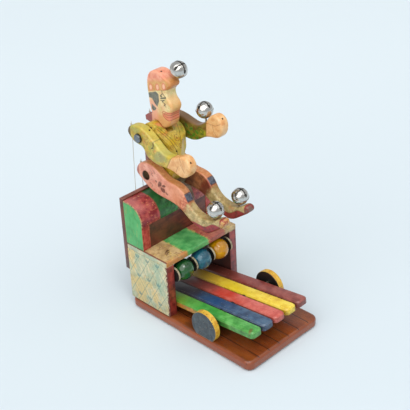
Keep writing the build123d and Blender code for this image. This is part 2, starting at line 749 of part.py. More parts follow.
os.makedirs("parts", exist_ok=True)
for name, piece in pieces.items():
    piece.part.label = name
    export_step(piece.part, f"parts/{name}.step")
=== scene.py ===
"""Looks of a wooden jester toy that five finger keys work through strings."""
from functools import reduce
from math import cos, radians, sin

import bpy
from mathutils import Matrix, Vector


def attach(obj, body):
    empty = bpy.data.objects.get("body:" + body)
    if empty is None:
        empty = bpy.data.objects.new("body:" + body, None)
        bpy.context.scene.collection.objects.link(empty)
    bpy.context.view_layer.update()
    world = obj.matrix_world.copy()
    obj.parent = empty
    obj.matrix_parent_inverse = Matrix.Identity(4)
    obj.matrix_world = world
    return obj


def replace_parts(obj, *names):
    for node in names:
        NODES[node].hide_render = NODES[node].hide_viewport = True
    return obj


bl_info = {
    "name": "Key-worked jester toy",
    "version": (1, 0, 0),
    "blender": (4, 5, 0),
    "location": "3D View > Sidebar > Toy",
    "description": "Paint, fittings and studio for the wooden jester toy",
    "category": "Object",
}

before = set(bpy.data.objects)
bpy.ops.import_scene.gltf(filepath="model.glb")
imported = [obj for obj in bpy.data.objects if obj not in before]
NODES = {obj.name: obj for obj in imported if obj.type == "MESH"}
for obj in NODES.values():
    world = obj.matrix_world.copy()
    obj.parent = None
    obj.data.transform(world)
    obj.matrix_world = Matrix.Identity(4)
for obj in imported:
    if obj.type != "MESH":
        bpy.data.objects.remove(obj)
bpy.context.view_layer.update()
MM = 0.001

# modelling, in metres and degrees
MERGE_DISTANCE = 0.00001
FLAT_ANGLE = 0.5
EASED_ANGLE = 35
SMOOTH_ANGLE = 30
NODE_SMOOTH_ANGLE = 35
NAIL_FLATNESS = 0.42
SLOT_LENGTH, SLOT_DEPTH = 0.02, 0.0012
SLOT_TURN, SLOT_TURN_STEP = 25, 50
LID_EDGE_SHARE = 0.6

# studio
CAMERA_AZIMUTH, CAMERA_ELEVATION, CAMERA_ROLL = -43.32, 30.07, -3.22
CAMERA_TARGET = (0.04293, 0.06735, 0.10905)
CAMERA_LENS, CAMERA_SENSOR, CAMERA_REACH = 86.4, 36.0, 20
FLOOR_SIZE, FLOOR_DROP = 12, 0.0002
SKY_COLOUR, SKY_STRENGTH = (0.96, 0.98, 1.0, 1), 0.56
WINDOW_PLACE, WINDOW_TARGET = Vector((-0.35, -0.55, 1.25)), Vector((0, 0, 0.1))
WINDOW_SIZE, WINDOW_POWER = 0.42, 3.2
SUNS = (  # name, direction it shines from, power, spread in degrees, colour
    ("Key", (-0.85, -0.22, 0.95), 1.8, 75, (1.0, 0.985, 0.96)),
    ("Fill", (0.25, -0.45, 1.0), 0.45, 60, (1.0, 1.0, 1.0)),
)


# ---------------------------------------------------------------- sizes and colours a user may change
def length(name, text, default):
    return bpy.props.FloatProperty(name=name, description=text, default=default, unit="LENGTH", precision=5)


def colour(name, text, default):
    return bpy.props.FloatVectorProperty(
        name=name, description=text, default=[part / 100 for part in default],
        subtype="COLOR_GAMMA", size=3, min=0, max=1)


class ToySizes(bpy.types.PropertyGroup):
    board_edge: length("Board edge", "Rounding of the case boards' worn edges", 0.0007)
    key_edge: length("Key edge", "Rounding of the keys' worn edges", 0.0006)
    nail_radius: length("Nail head", "Radius of the small nail heads in the figure", 0.0011)
    knot_radius: length("String knot", "Radius of the knot above each string hole", 0.0013)
    screw_slot: length("Screw slot", "Width of the slot in each screw head", 0.0007)
    camera_distance: length("Camera distance", "From the camera to the point it looks at", 1.2072)


class ToyColours(bpy.types.PropertyGroup):
    mahogany: colour("Mahogany", "Varnished base board", (60, 30, 12))
    cream: colour("Cream", "Wash on the outside of the walls", (78, 75, 60))
    case_red: colour("Case red", "Ends of the lid", (52, 9, 13))
    case_brown: colour("Case brown", "Boards behind the figure", (36, 14, 8))
    skin: colour("Skin", "Face", (89, 77, 54))
    coat: colour("Coat", "Coat and right sleeve", (78, 65, 20))
    thigh: colour("Thigh", "Upper legs", (88, 60, 50))
    shoe: colour("Shoe", "Curled shoes", (54, 7, 9))


# ---------------------------------------------------------------- shader maths as expressions
def linear(rgb):
    """A picture colour as the light value that shows it. A tuple is in percent, a user's colour 0 to 1."""
    shares = [part / 100 for part in rgb] if isinstance(rgb, tuple) else rgb
    return tuple(c / 12.92 if c <= 0.04045 else ((c + 0.055) / 1.055) ** 2.4 for c in shares) + (1.0,)


class Val:
    """One number or colour of a material. Arithmetic on it adds Math nodes."""

    def __init__(self, finish, socket):
        self.finish, self.socket = finish, socket

    def maths(self, operation, *others, clamp=False):
        return self.finish.maths(operation, self, *others, clamp=clamp)

    def __add__(self, other):
        return self.maths("ADD", other)

    __radd__ = __add__

    def __sub__(self, other):
        return self.maths("SUBTRACT", other)

    def __rsub__(self, other):
        return self.finish.maths("SUBTRACT", other, self)

    def __mul__(self, other):
        return self.maths("MULTIPLY", other)

    __rmul__ = __mul__

    def __truediv__(self, other):
        return self.maths("DIVIDE", other)

    def __rtruediv__(self, other):
        return self.finish.maths("DIVIDE", other, self)

    def __abs__(self):
        return self.maths("ABSOLUTE")

    def __pow__(self, other):
        return self.maths("POWER", other)

    def __and__(self, other):
        return self.maths("MULTIPLY", other, clamp=True)

    def __or__(self, other):
        return self.maths("MAXIMUM", other)

    def below(self, edge, soft=0.3):
        """1 where the number is under the edge, with a soft step."""
        return self.finish.ramp(self, edge + soft, edge - soft)

    def above(self, edge, soft=0.3):
        """1 where the number is over the edge, with a soft step."""
        return self.finish.ramp(self, edge - soft, edge + soft)

    def from_whole(self):
        """How far the number is from the nearest whole one."""
        return abs(self - self.maths("ROUND"))

    def over(self, mask, tone):
        """This colour, painted over with a tone where the mask is 1."""
        return self.finish.mix(mask, self, tone)

    def layers(self, *rows):
        """This colour, painted over by each row's mask and tone in turn."""
        return reduce(lambda paint, row: paint.over(*row), rows, self)


def union(*masks):
    return reduce(Val.__or__, masks)


def least(*values):
    return reduce(lambda first, second: first.maths("MINIMUM", second), values)


class Sketch:
    """Draws on two axes, in millimetres. Each method gives 1 inside its mark."""

    def __init__(self, u, v):
        self.u, self.v = u, v

    def oval(self, centre, radii, turn=0.0, soft=0.25):
        c, s = cos(radians(turn)), sin(radians(turn))
        du, dv = self.u - centre[0], self.v - centre[1]
        a = (du * c + dv * s) / radii[0]
        b = (dv * c - du * s) / radii[1]
        return (a * a + b * b).below(1.0, soft)

    def patch(self, points, soft=0.35):
        """A shape with straight sides and no hollows, its points given in turning order."""
        pairs = list(zip(points, points[1:] + points[:1]))
        turn = 1 if sum(u0 * v1 - u1 * v0 for (u0, v0), (u1, v1) in pairs) > 0 else -1
        inside = []
        for (u0, v0), (u1, v1) in pairs:
            span = turn * ((u1 - u0) ** 2 + (v1 - v0) ** 2) ** 0.5
            inside.append((self.v - v0) * ((u1 - u0) / span) - (self.u - u0) * ((v1 - v0) / span))
        return least(*inside).above(0.0, soft)

    def stroke(self, points, width, soft=0.18):
        """A line drawn through the points."""
        distances = []
        for (u0, v0), (u1, v1) in zip(points, points[1:]):
            du, dv = u1 - u0, v1 - v0
            span = du * du + dv * dv
            pu, pv = self.u - u0, self.v - v0
            along = (pu * (du / span) + pv * (dv / span)) & 1.0
            ou, ov = pu - along * du, pv - along * dv
            distances.append(ou * ou + ov * ov)
        return (least(*distances) ** 0.5).below(width / 2, soft)

    def ring(self, centre, radius, width, soft=0.2):
        du, dv = self.u - centre[0], self.v - centre[1]
        return abs((du * du + dv * dv) ** 0.5 - radius).below(width / 2, soft)


class Finish:
    """A procedural material. Its patterns read the piece's own place in millimetres."""

    def __init__(self, name):
        self.material = bpy.data.materials.new(name)
        self.material.use_nodes = True
        self.tree = self.material.node_tree
        self.shader = self.tree.nodes["Principled BSDF"]
        place = self.node("ShaderNodeTexCoord")
        self.at = self.node("ShaderNodeVectorMath", {"operation": "SCALE"},
                            {"Vector": place["Object"], "Scale": 1 / MM})["Vector"]
        self.x, self.y, self.z = self.parts(self.at)
        self.nx, self.ny, self.nz = self.parts(place["Normal"])

    def node(self, kind, settings=None, values=None):
        """Adds a node, sets it, then feeds its sockets. Returns its outputs by name."""
        made = self.tree.nodes.new(kind)
        for key, value in (settings or {}).items():
            setattr(made, key, value)
        for key, value in (values or {}).items():
            self.feed(made.inputs[key], value)
        return {out.name: Val(self, out) for out in made.outputs if out.enabled}

    def feed(self, socket, value):
        if isinstance(value, Val):
            self.tree.links.new(value.socket, socket)
        else:
            socket.default_value = value

    def parts(self, vector):
        split = self.node("ShaderNodeSeparateXYZ", {}, {"Vector": vector})
        return split["X"], split["Y"], split["Z"]

    def maths(self, operation, *values, clamp=False):
        made = self.tree.nodes.new("ShaderNodeMath")
        made.operation, made.use_clamp = operation, clamp
        for socket, value in zip(made.inputs, values):
            self.feed(socket, value)
        return Val(self, made.outputs[0])

    def ramp(self, value, low, high):
        return self.node("ShaderNodeMapRange", {"interpolation_type": "SMOOTHSTEP"},
                         {"Value": value, "From Min": low, "From Max": high})["Result"]

    def mix(self, factor, first, second):
        """Mixes two colours, each a Val or a picture colour."""
        made = self.tree.nodes.new("ShaderNodeMix")
        made.data_type = "RGBA"
        colours = [tone if isinstance(tone, Val) else linear(tone) for tone in (first, second)]
        sockets = [socket for socket in made.inputs if socket.enabled]
        for socket, value in zip(sockets, (factor, *colours)):
            self.feed(socket, value)
        return Val(self, next(out for out in made.outputs if out.enabled))

    def moved(self, size, stretch, shift):
        """The piece's place in units of size millimetres."""
        return self.node("ShaderNodeMapping", {}, {
            "Vector": self.at, "Location": shift, "Scale": tuple(1.0 / (size * s) for s in stretch)})["Vector"]

    def noise(self, size, detail=3, rough=0.55, stretch=(1, 1, 1), shift=0.0, distortion=0.0):
        """Cloudy pattern, 0 to 1, whose blots are about size millimetres across."""
        return self.node("ShaderNodeTexNoise", {}, {
            "Vector": self.moved(size, stretch, (shift, shift * 0.7, shift * 1.3)), "Scale": 1.0,
            "Detail": detail, "Roughness": rough, "Distortion": distortion})["Fac"]

    def blots(self, size, edge, soft, shift=0.0, detail=3, rough=0.55, stretch=(1, 1, 1)):
        """1 inside scattered blots. The higher the edge, the fewer they are."""
        return self.noise(size, detail, rough, stretch, shift).above(edge, soft)

    def wander(self, amount, size, shift=0.0, detail=3, stretch=(1, 1, 1)):
        """A number that strays from 0 by up to half the amount."""
        return (self.noise(size, detail, stretch=stretch, shift=shift) - 0.5) * amount

    def dots(self, size, radius, shift=0.0):
        """Scattered round specks: 1 inside one."""
        cell = self.node("ShaderNodeTexVoronoi", {},
                         {"Vector": self.moved(size, (1, 1, 1), (shift,) * 3), "Scale": 1.0})
        return cell["Distance"].below(radius / size, 0.3 * radius / size)

    def edge(self, radius=0.9, sharp=0.12):
        """1 along the piece's outer edges, where paint wears."""
        bevelled = self.node("ShaderNodeBevel", {"samples": 4}, {"Radius": radius * MM})
        flat = self.node("ShaderNodeNewGeometry")
        dot = self.node("ShaderNodeVectorMath", {"operation": "DOT_PRODUCT"},
                        {0: bevelled["Normal"], 1: flat["Normal"]})["Value"]
        return dot.below(1.0 - sharp, sharp * 0.8)

    def brushed(self, base, dark, light, along, size, shift=0.0, strength=1.0):
        """Hand-brushed paint: soft blots and fine brush lines between a darker and a lighter tone."""
        blots = self.noise(size, 4, 0.6, shift=shift)
        lines = self.noise(1.3, 3, 0.6, along, shift + 9)
        return self.mix(blots.above(0.56, 0.16) * (0.75 * strength), base, light).layers(
            (blots.below(0.42, 0.14) * (0.8 * strength), dark),
            (lines.below(0.42, 0.12) * (0.28 * strength), dark),
            (lines.above(0.6, 0.1) * (0.25 * strength), light))

    def worn(self, paint, under, amount, radius, shift):
        """Paint rubbed through to the wood along the edges, in patches."""
        return paint.over(self.edge(radius) * self.blots(5.0, 0.50, 0.14, shift, 4, 0.65) * amount, under)

    def painted(self, paint, rough, along, height=0.14, coat=0.25):
        """The finished material, with the relief of brush marks and of paint laid on in blots."""
        relief = self.noise(1.1, 3, 0.6, along) * 0.6 + self.noise(4.0, 3, 0.6) * 0.4
        return self.done(paint, rough, coat=coat, bump=relief, height=height)

    def done(self, base, rough, metal=0.0, coat=0.0, bump=None, height=0.1, coat_rough=0.15):
        for key, value in (("Base Color", base), ("Roughness", rough), ("Metallic", metal),
                           ("Coat Weight", coat), ("Coat Roughness", coat_rough)):
            self.feed(self.shader.inputs[key], value)
        if bump is not None:
            made = self.node("ShaderNodeBump", {}, {"Height": bump, "Distance": height * MM, "Strength": 1.0})
            self.feed(self.shader.inputs["Normal"], made["Normal"])
        return self.material


# ---------------------------------------------------------------- finishes of the case
# From here on, a triple after a mask or in a row of paints is a colour: red, green and blue in percent.
# Places and sizes are millimetres of the toy, and a mask's factor is how strongly the tone covers.
BASE_HALF_WIDTH, BASE_STRIP_WIDTH = 60.0, 17.0
STAIN_TOP = 85.0
LATTICE_Y, LATTICE_Z, LATTICE_LEAN, LATTICE_STEP = 65.0, 48.0, 1.55, 27.0
SPRIG_Y, SPRIG_Z, SPRIG_STEP, SPRIG_LEANS = 48.0, 21.0, 17.4, (-38, 0, 38)
LEAF_REACH, LEAF_RADII = 3.4, (1.1, 2.7)
GREEN_LEDGE, PLUM_LEDGE, TAN_LEDGE = -27, 11.5, 39.7
GREEN_LID, OLIVE_LID, RED_LID = -30, -1, 27
POST_FOOT = 149
BLOCK_X = 51.0
LEDGE_BRUSH = (7, 1, 1)


def mahogany_finish(c):
    f = Finish("base_varnish")
    grain = f.noise(1.0, 5, 0.65, (1, 26, 1), distortion=0.4)
    place = (f.x + BASE_HALF_WIDTH) / BASE_STRIP_WIDTH + f.wander(0.06, 40, detail=2, stretch=(1, 4, 1))
    strip = f.node("ShaderNodeTexWhiteNoise", {"noise_dimensions": "1D"}, {"W": place.maths("FLOOR")})["Value"]
    top = f.nz.above(0.7, 0.1)
    pores = f.blots(0.35, 0.64, 0.05, detail=2, rough=0.5, stretch=(1, 18, 1))
    joint = place.from_whole().below(0.034, 0.018) * f.blots(6, 0.33, 0.1, stretch=(1, 5, 1))
    # Painted shade: the top darkened in patches under the keys and towards the back.
    painted_shade = f.y.above(-45, 40) * f.blots(22, 0.42, 0.2, 4, 4, 0.6) * top
    paint = f.mix(grain.above(0.5, 0.22) * 0.8, c.mahogany, (38, 17, 6)).layers(
        (strip * 0.5 * top, (38, 16, 6)),
        (f.blots(26, 0.55, 0.12, 2, 3, 0.5, (1, 3, 1)) * 0.5, (66, 36, 14)),
        (pores * 0.6, (18, 7, 3)),
        ((1.0 - top) * 0.5, (54, 24, 11)),
        (painted_shade * 0.6, (22, 10, 6)),
        (joint * top * 0.92, (9, 3.5, 2)),
        (f.blots(3, 0.66, 0.05, 7, 4, 0.65) * 0.5, (16, 7, 4)))
    paint = f.worn(paint, (80, 50, 34), 0.6, 1.8, 3)
    return f.done(paint, 0.22 + grain * 0.14 + pores * 0.2, coat=0.35,
                  bump=1.0 - pores * 0.6 - joint * top, height=0.14)


def wash_tone(f, c, shift):
    """Cream and grey-green wash, stained with age."""
    ochre = f.noise(24, 3, 0.6, shift=shift + 11) + (STAIN_TOP - f.z) * 0.0022 + f.y.above(70, 22) * 0.12
    return f.brushed(c.cream, (62, 66, 54), (86, 81, 68), (1, 2, 7), 13, shift).layers(
        (f.blots(15, 0.52, 0.10, shift + 3, 4, 0.6, (1, 1, 1.5)) * 0.8, (61, 70, 60)),
        (ochre.above(0.68, 0.07) * 0.7, (86, 73, 46)),
        (f.blots(6, 0.60, 0.06, shift + 5, 5, 0.7) * 0.5, (68, 54, 38)),
        (f.blots(2.4, 0.62, 0.05, shift + 8, 5, 0.7) * 0.45, (50, 44, 32)),
        (f.dots(5.5, 0.5, 2.0) * 0.6, (42, 36, 24)))


def lattice(f):
    """Lozenge lattice, hatched in every lozenge, with a leaf sprig at each crossing."""
    bands = [(f.z - LATTICE_Z + (f.y - LATTICE_Y) * lean + f.wander(3.0, 20, lean, 2)) / LATTICE_STEP
             for lean in (LATTICE_LEAN, -LATTICE_LEAN)]
    lines = union(*(band.from_whole().below(0.026, 0.015) for band in bands))
    inner = [band.from_whole().above(0.24, 0.02) for band in bands]
    hatch = (f.y * 3.1).maths("SINE").above(0.72, 0.2) * inner[0] * inner[1]
    drawing = (lines * 0.85) | (hatch * 0.75)
    sketch = Sketch(f.y, f.z)
    for row in range(3):
        for column in range(3):
            for lean in SPRIG_LEANS:
                centre = (SPRIG_Y + column * SPRIG_STEP + LEAF_REACH * sin(radians(lean)),
                          SPRIG_Z + row * LATTICE_STEP + LEAF_REACH * cos(radians(lean)))
                drawing = drawing | (sketch.oval(centre, LEAF_RADII, -lean, 0.35) * 0.9)
    return drawing


def wall_finish(c, side):
    f = Finish("wall_left_paint" if side < 0 else "wall_right_paint")
    out, face = f.x * side, f.nx * side
    pencil = lattice(f) * f.blots(1.2, 0.36, 0.14, 2, rough=0.6)
    wash = wash_tone(f, c, side).over(pencil * face.above(0.8, 0.1) * 0.8, (30, 48, 48))
    edge_red = (50, 15, 13) if side < 0 else (58, 25, 27)
    corners = (out.below(47.5, 0.7) | out.above(57.0, 0.5)) * f.blots(3, 0.4, 0.1, 5)
    # The red front edges: red paint, its lighter vertical streaks painted highlights.
    gloss = f.brushed(edge_red, (28, 8, 8), (68, 28, 22), (1, 1, 9), 8, 2).over(corners * 0.6, (24, 9, 8))
    brown = f.brushed((26, 11, 8), (17, 7, 5), (34, 16, 12), (1, 8, 1), 14, 6)
    front = f.ny.below(-0.5, 0.2)
    paint = f.mix(front, wash, gloss).over(face.below(-0.5, 0.2), brown)
    rim = out.above(56.5, 0.6) & f.y.below(33.2, 0.5)
    paint = f.worn(paint, (78, 64, 42), 0.6, 0.9, 1).over(rim * f.blots(2.5, 0.45, 0.1, 8), (40, 14, 11))
    return f.painted(paint, 0.62 - front * 0.25, (1, 2, 7), 0.16, front * 0.4)


def ledge_finish(c):
    f = Finish("ledge_paint")
    sketch = Sketch(f.x, f.y)
    across = f.x + f.wander(3.0, 12, 3)
    tan = f.brushed((76, 65, 45), (60, 47, 30), (86, 76, 56), LEDGE_BRUSH, 11).layers(
        (f.blots(5, 0.58, 0.05, 12, 5, 0.7) * 0.6, (50, 30, 16)),
        (f.blots(7, 0.60, 0.06, 22, 4, 0.6) * 0.6, (82, 70, 36)),
        (sketch.oval((-41, 47), (6, 2.6), 40, 0.6) * f.blots(1.6, 0.45, 0.1), (30, 16, 10)),
        (sketch.ring((-44, 36), 7.0, 0.8, 0.5) * f.blots(2.5, 0.5, 0.08, 4) * 0.7, (45, 25, 14)))
    green = f.brushed((30, 66, 35), (20, 52, 27), (48, 78, 48), LEDGE_BRUSH, 12, 4).over(
        f.blots(2.0, 0.63, 0.05, 9, 4, 0.7, LEDGE_BRUSH) * 0.5, (60, 72, 40))
    plum = f.brushed((66, 32, 26), (50, 22, 18), (76, 46, 38), LEDGE_BRUSH, 10, 8).over(
        f.blots(2.0, 0.60, 0.05, 3, 4, 0.7, LEDGE_BRUSH) * 0.5, (74, 55, 40))
    rub = union(*(abs(across - joint).below(width, soft) for joint, width, soft in (
        (PLUM_LEDGE, 2.2, 2.0), (GREEN_LEDGE, 1.6, 1.5), (TAN_LEDGE, 1.4, 1.4))))
    rim = f.y.below(33.5, 2.0) & across.below(-24, 2.0)
    paint = f.mix(across.above(GREEN_LEDGE, 0.6), tan, green).layers(
        (across.above(PLUM_LEDGE, 0.5), plum),
        (across.above(TAN_LEDGE, 0.6), tan),
        (rub * f.blots(3.0, 0.55, 0.08, 1, 4, 0.6) * 0.8, (80, 72, 38)),
        (rim * f.blots(6, 0.42, 0.14, 2, 4) * 0.85, (76, 48, 24)))
    seam = f.z.above(88.6, 0.35) & abs(f.x).above(56.8, 0.5)
    paint = f.worn(paint, (84, 66, 34), 0.8, 1.2, 5).layers(
        (abs(f.nx).above(0.6, 0.1), wash_tone(f, c, 2)),
        (seam * f.blots(3, 0.30, 0.1, 6) * 0.9, (44, 18, 13)),
        (f.nz.below(-0.6, 0.1), (24, 11, 8)))
    return f.painted(paint, 0.46, LEDGE_BRUSH, 0.16, 0.2)


def cheek_finish():
    f = Finish("cheek_green_paint")
    green = f.brushed((28, 63, 35), (20, 52, 28), (36, 70, 42), (1, 2, 9), 15, 2, 0.8).layers(
        (f.blots(1.8, 0.62, 0.05, 7, 4, 0.7, (1, 1, 8)) * 0.6, (60, 58, 28)),
        (f.blots(3, 0.64, 0.04, 4, 5, 0.7) * 0.4, (20, 40, 20)))
    red = f.brushed((68, 18, 17), (48, 9, 11), (80, 40, 34), (1, 1, 5), 6, 3).over(
        f.blots(2.4, 0.62, 0.05, 5, 4, 0.7, (1, 1, 3)) * 0.5, (78, 50, 34))
    outer = abs(f.nx).above(0.7, 0.1)
    paint = f.mix(outer, red, green).layers(
        (abs(f.x).below(46.6, 0.2) & outer, (26, 11, 8)),
        ((f.z.below(91.0, 0.7) & outer) * 0.7, (30, 20, 10)))
    return f.painted(f.worn(paint, (72, 60, 34), 0.75, 1.0, 2), 0.42, (1, 2, 9))


def lid_finish(c):
    f = Finish("lid_paint")
    across = f.x + f.wander(4.0, 16, 1)
    red = f.brushed(c.case_red, (38, 6, 11), (72, 34, 30), (1, 1, 2), 8, 3).layers(
        (f.blots(3.5, 0.60, 0.05, 14, 5, 0.75) * 0.65, (80, 54, 34)),
        ((f.z.above(141, 5) & across.below(-46, 6)) * 0.6, (76, 44, 42)))
    green = f.brushed((14, 42, 18), (5, 24, 10), (28, 60, 30), (1, 1, 3), 8, 5).over(
        across.below(-20, 7) * 0.7, (7, 26, 13))
    olive = f.brushed((38, 26, 17), (24, 14, 9), (56, 50, 34), (2, 1, 2), 8, 6)
    seam = abs(across - GREEN_LID).below(0.7, 0.6) * f.blots(3, 0.50, 0.1, 9)
    rim = abs(f.x).above(57.6, 0.3)
    paint = f.mix(across.above(GREEN_LID, 0.9), red, green).layers(
        (across.above(OLIVE_LID, 1.2), olive),
        (across.above(RED_LID, 1.0), red),
        (seam * 0.6, (50, 30, 20)),
        (rim * f.blots(3, 0.45, 0.1, 3) * 0.9, (70, 60, 40)),
        (rim * f.noise(3, shift=3).below(0.40, 0.1) * 0.9, (25, 15, 10)))
    return f.painted(f.worn(paint, (74, 54, 34), 0.5, 0.8, 7), 0.40, (1, 2, 3), 0.17)


def dark_finish(name, c, post=False):
    f = Finish(name)
    brown = f.brushed(c.case_brown, (18, 7, 4), (46, 22, 14), (9, 1, 2), 16, 2)
    if post:
        mauve = f.brushed((52, 31, 27), (38, 20, 17), (66, 44, 37), (1, 1, 9), 9, 4)
        brown = f.worn(brown.over(f.z.above(POST_FOOT, 0.6), mauve), (60, 36, 30), 0.8, 0.8, 2)
    else:
        brown = brown.over(f.blots(7, 0.60, 0.06, 8, 4, 0.6, (3, 1, 1)) * 0.5, (48, 26, 15))
    return f.painted(brown, 0.40, (9, 1, 2), coat=0.3)


# ---------------------------------------------------------------- finishes of the keys and the roller
KEY_PAINTS = {  # paint, darker, lighter, rear end, worn edge, brightest middle, specks
    "green": ((30, 65, 28), (18, 48, 17), (46, 76, 42), (44, 60, 16), (60, 66, 40), (22, 62, 22), (20, 11, 6)),
    "blue": ((20, 32, 45), (12, 19, 29), (32, 43, 53), (21, 16, 17), (66, 62, 54), (10, 27, 46), (72, 70, 64)),
    "red": ((80, 36, 32), (68, 25, 20), (86, 50, 44), (42, 20, 17), (82, 56, 42), (76, 20, 12), (20, 11, 6)),
    "yellow": ((93, 80, 18), (82, 64, 12), (96, 88, 38), (82, 66, 22), (90, 82, 48), (86, 76, 6), (20, 11, 6)),
    "maroon": ((54, 25, 22), (42, 18, 16), (64, 36, 32), (38, 18, 14), (62, 42, 34), (52, 20, 18),
               (66, 50, 44)),
}
BALL_PAINTS = {  # paint, darker, lighter
    "green": ((10, 33, 14), (5, 22, 10), (20, 46, 22)),
    "blue": ((14, 42, 50), (8, 28, 36), (28, 55, 62)),
    "yellow": ((82, 58, 3), (68, 45, 2), (90, 70, 10)),
}


def key_finish(key):
    base, dark, light, rear, under, middle, speck = KEY_PAINTS[key]
    f = Finish(f"key_{key}_paint")
    shift = len(key) * 3.0
    bright = abs(f.y + 12.0).below(22, 18) * f.blots(12, 0.42, 0.12, shift, stretch=(1, 2, 1))
    along = f.y + f.wander(34.0, 14, 2)
    paint = f.brushed(base, dark, light, (1, 9, 1), 11, shift).layers(
        (bright * 0.7, middle),
        (along.above(16, 20) * 0.9, rear),
        (f.blots(3.2, 0.62, 0.05, shift + 6, 5, 0.72) * 0.55, dark),
        (f.blots(0.8, 0.66, 0.04, shift + 1, 4, 0.7, (1, 14, 1)) * 0.35, light),
        (f.dots(4.6, 0.42, 3.0) * f.blots(9, 0.48, 0.06, 3, 2) * 0.9, speck))
    if key == "green":
        low = (0.6 - abs(f.nz)).above(0.2, 0.2) & f.y.above(-4, 10)
        paint = paint.layers(
            (low * f.blots(6, 0.34, 0.12, 4) * 0.95, (84, 54, 20)),
            (Sketch(f.x, f.y).oval((-43.5, -86.5), (4.5, 2.0), 25, 0.7) * 0.7, (42, 30, 12)))
    edge = f.edge(1.3, 0.06)
    paint = paint.layers(
        ((1.0 - abs(f.nz)) * f.blots(5, 0.40, 0.2, 8, 4) * 0.5, (16, 10, 6)),
        (edge * f.blots(4.0, 0.46, 0.10, 4, 4, 0.65) * 0.9, under),
        (edge * f.noise(2.5, 4, 0.65, shift=24).below(0.40, 0.08) * 0.6, (16, 10, 7)))
    return f.painted(paint, 0.38, (1, 8, 1), 0.18)


def block_finish():
    f = Finish("block_paint")
    slate = f.brushed((20, 24, 27), (13, 16, 19), (30, 34, 36), (1, 3, 3), 7, 2).layers(
        (f.dots(4.0, 0.32, 2), (72, 70, 64)),
        (f.blots(3, 0.64, 0.05, 3, 5, 0.7) * 0.6, (46, 36, 26)))
    ochre = f.brushed((84, 66, 16), (72, 44, 10), (92, 78, 32), (1, 3, 3), 7, 5).over(
        f.blots(2.2, 0.62, 0.03, 4, 4, 0.65) * 0.9, (22, 14, 8))
    side = f.nx * (f.x / BLOCK_X)
    paint = f.mix(side.above(0.75, 0.08), ochre, slate).layers(
        (side.below(-0.6, 0.1), (7, 6.5, 6)),
        (f.edge(1.1) * f.blots(2.6, 0.42, 0.08, 3, 4, 0.6) * 0.75, (82, 64, 34)))
    return f.painted(paint, 0.5, (1, 2, 2), 0.16, 0.2)


def gloss_finish(name, base, dark, light):
    f = Finish(name)
    paint = f.mix(f.blots(9, 0.5, 0.2, len(name), 3, 0.5, (2, 1, 1)) * 0.7, base, dark).layers(
        (f.blots(6, 0.62, 0.12, 4, 3, 0.5, (3, 1, 1)) * 0.6, light),
        (f.dots(3.4, 0.2, 1.0) * 0.5, dark))
    return f.done(paint, 0.16 + f.blots(3, 0.55, 0.1) * 0.1, coat=0.6, coat_rough=0.06, bump=f.noise(6, 2))


def disc_finish():
    f = Finish("disc_black_paint")
    black = f.brushed((9, 8, 7), (5, 5, 5), (16, 14, 12), (1, 3, 3), 6)
    cream = f.brushed((72, 68, 54), (42, 36, 28), (82, 78, 66), (4, 1, 1), 4)
    return f.painted(black.over(abs(f.nx).below(0.6, 0.1) * 0.9, cream), 0.5, (1, 3, 3), 0.08, 0.15)


# ---------------------------------------------------------------- finishes of the figure
# Points are y and z in the side view, but x and z on the coat's front.
HEAD_Y, HAT_SLOPE = 75.0, 0.30
BRIM, BAND_TOP = 276.8, 288.5
HAT_OVALS = ((91.0, 276.6), (79.5, 279.6), (68.9, 283.0))
HAIR = (
    [(93.7, 269.2), (82.9, 273.6), (78.6, 271.2), (78.3, 262.5), (82.0, 255.0), (85.6, 257.4), (90.0, 263.2)],
    [(96.5, 268.4), (90.0, 271.0), (88.0, 263.4), (96.5, 263.2)],
    [(91.6, 256.4), (84.1, 252.7), (86.0, 249.6), (89.6, 248.2), (92.2, 250.0)],
)
EYE_OUTLINE = [(72.4, 277.2), (72.2, 273.4), (75.9, 270.2), (74.4, 268.0), (67.2, 270.3), (71.2, 273.8)]
EYE_LINES = (
    ([(76.0, 266.6), (66.8, 269.2)], 0.95),
    ([(75.6, 264.6), (69.2, 266.4), (73.4, 263.6), (68.2, 261.9), (70.6, 259.0)], 0.95),
    ([(69.2, 261.6), (67.6, 258.4)], 0.76),
)
LIP_LINES = (
    ([(74.0, 250.8), (73.4, 246.8), (69.5, 243.4), (64.5, 242.4), (57.0, 243.8)], 0.9, 0.3),
    ([(74.0, 250.8), (71.5, 252.6), (66.6, 251.6), (57.0, 252.2)], 0.8, 0.3),
    ([(72.6, 249.4), (68.0, 246.2), (57.0, 247.0)], 0.8, 0.35),
)
GUM_LINE = [(71.0, 249.8), (66.5, 249.2), (57.0, 249.8)]
LAPELS = (
    ([(-15, 230), (-8, 217), (-3, 203), (-2, 192)], 0.9),
    ([(-13, 232), (-5, 218), (-1, 208)], 0.7),
    ([(14, 230), (8, 217), (3, 205)], 0.8),
    ([(-18, 222), (-13, 208), (-9, 198)], 0.6),
)
ROSETTES = ((2.5, 217.0, 3.2), (4, 208, 2.4), (-9, 210, 2.0), (9, 211, 2.0))
SHOULDER_Y, SHOULDER_Z, RIGHT_ARM_DROP = 91.0, 222.0, 24.6
FINGER_LINES = {
    -1: ([(31, 221.5), (25, 218.7), (20.5, 210), (17.5, 202.1)],
         [(17.5, 202.1), (23.5, 210.5)], [(27, 207), (31, 199)]),
    1: ([(41, 236.5), (31, 238.8), (19.2, 239.2), (12, 243)], [(24, 238.5), (22, 231), (17, 226)]),
}
WRISTS = {-1: 39.4, 1: 34.2}
SLEEVE_COMMA = [(67.5, 223.6), (66.6, 220.0), (67.6, 216.6), (70.0, 215.4)]
SLEEVE_RINGS = (((48.5, 224.0), 1.8, 0.7), ((57, 211), 1.5, 0.6), ((76, 208), 1.6, 0.6))
SLEEVE_LEAVES = (
    ((67, 226), 40), ((59, 224), -30), ((72, 219), 70), ((64, 218), 10), ((55.5, 217), -40),
    ((50, 222), 40), ((60, 212), 80), ((79, 224), -10), ((80, 215), 35), ((50, 214), -70))
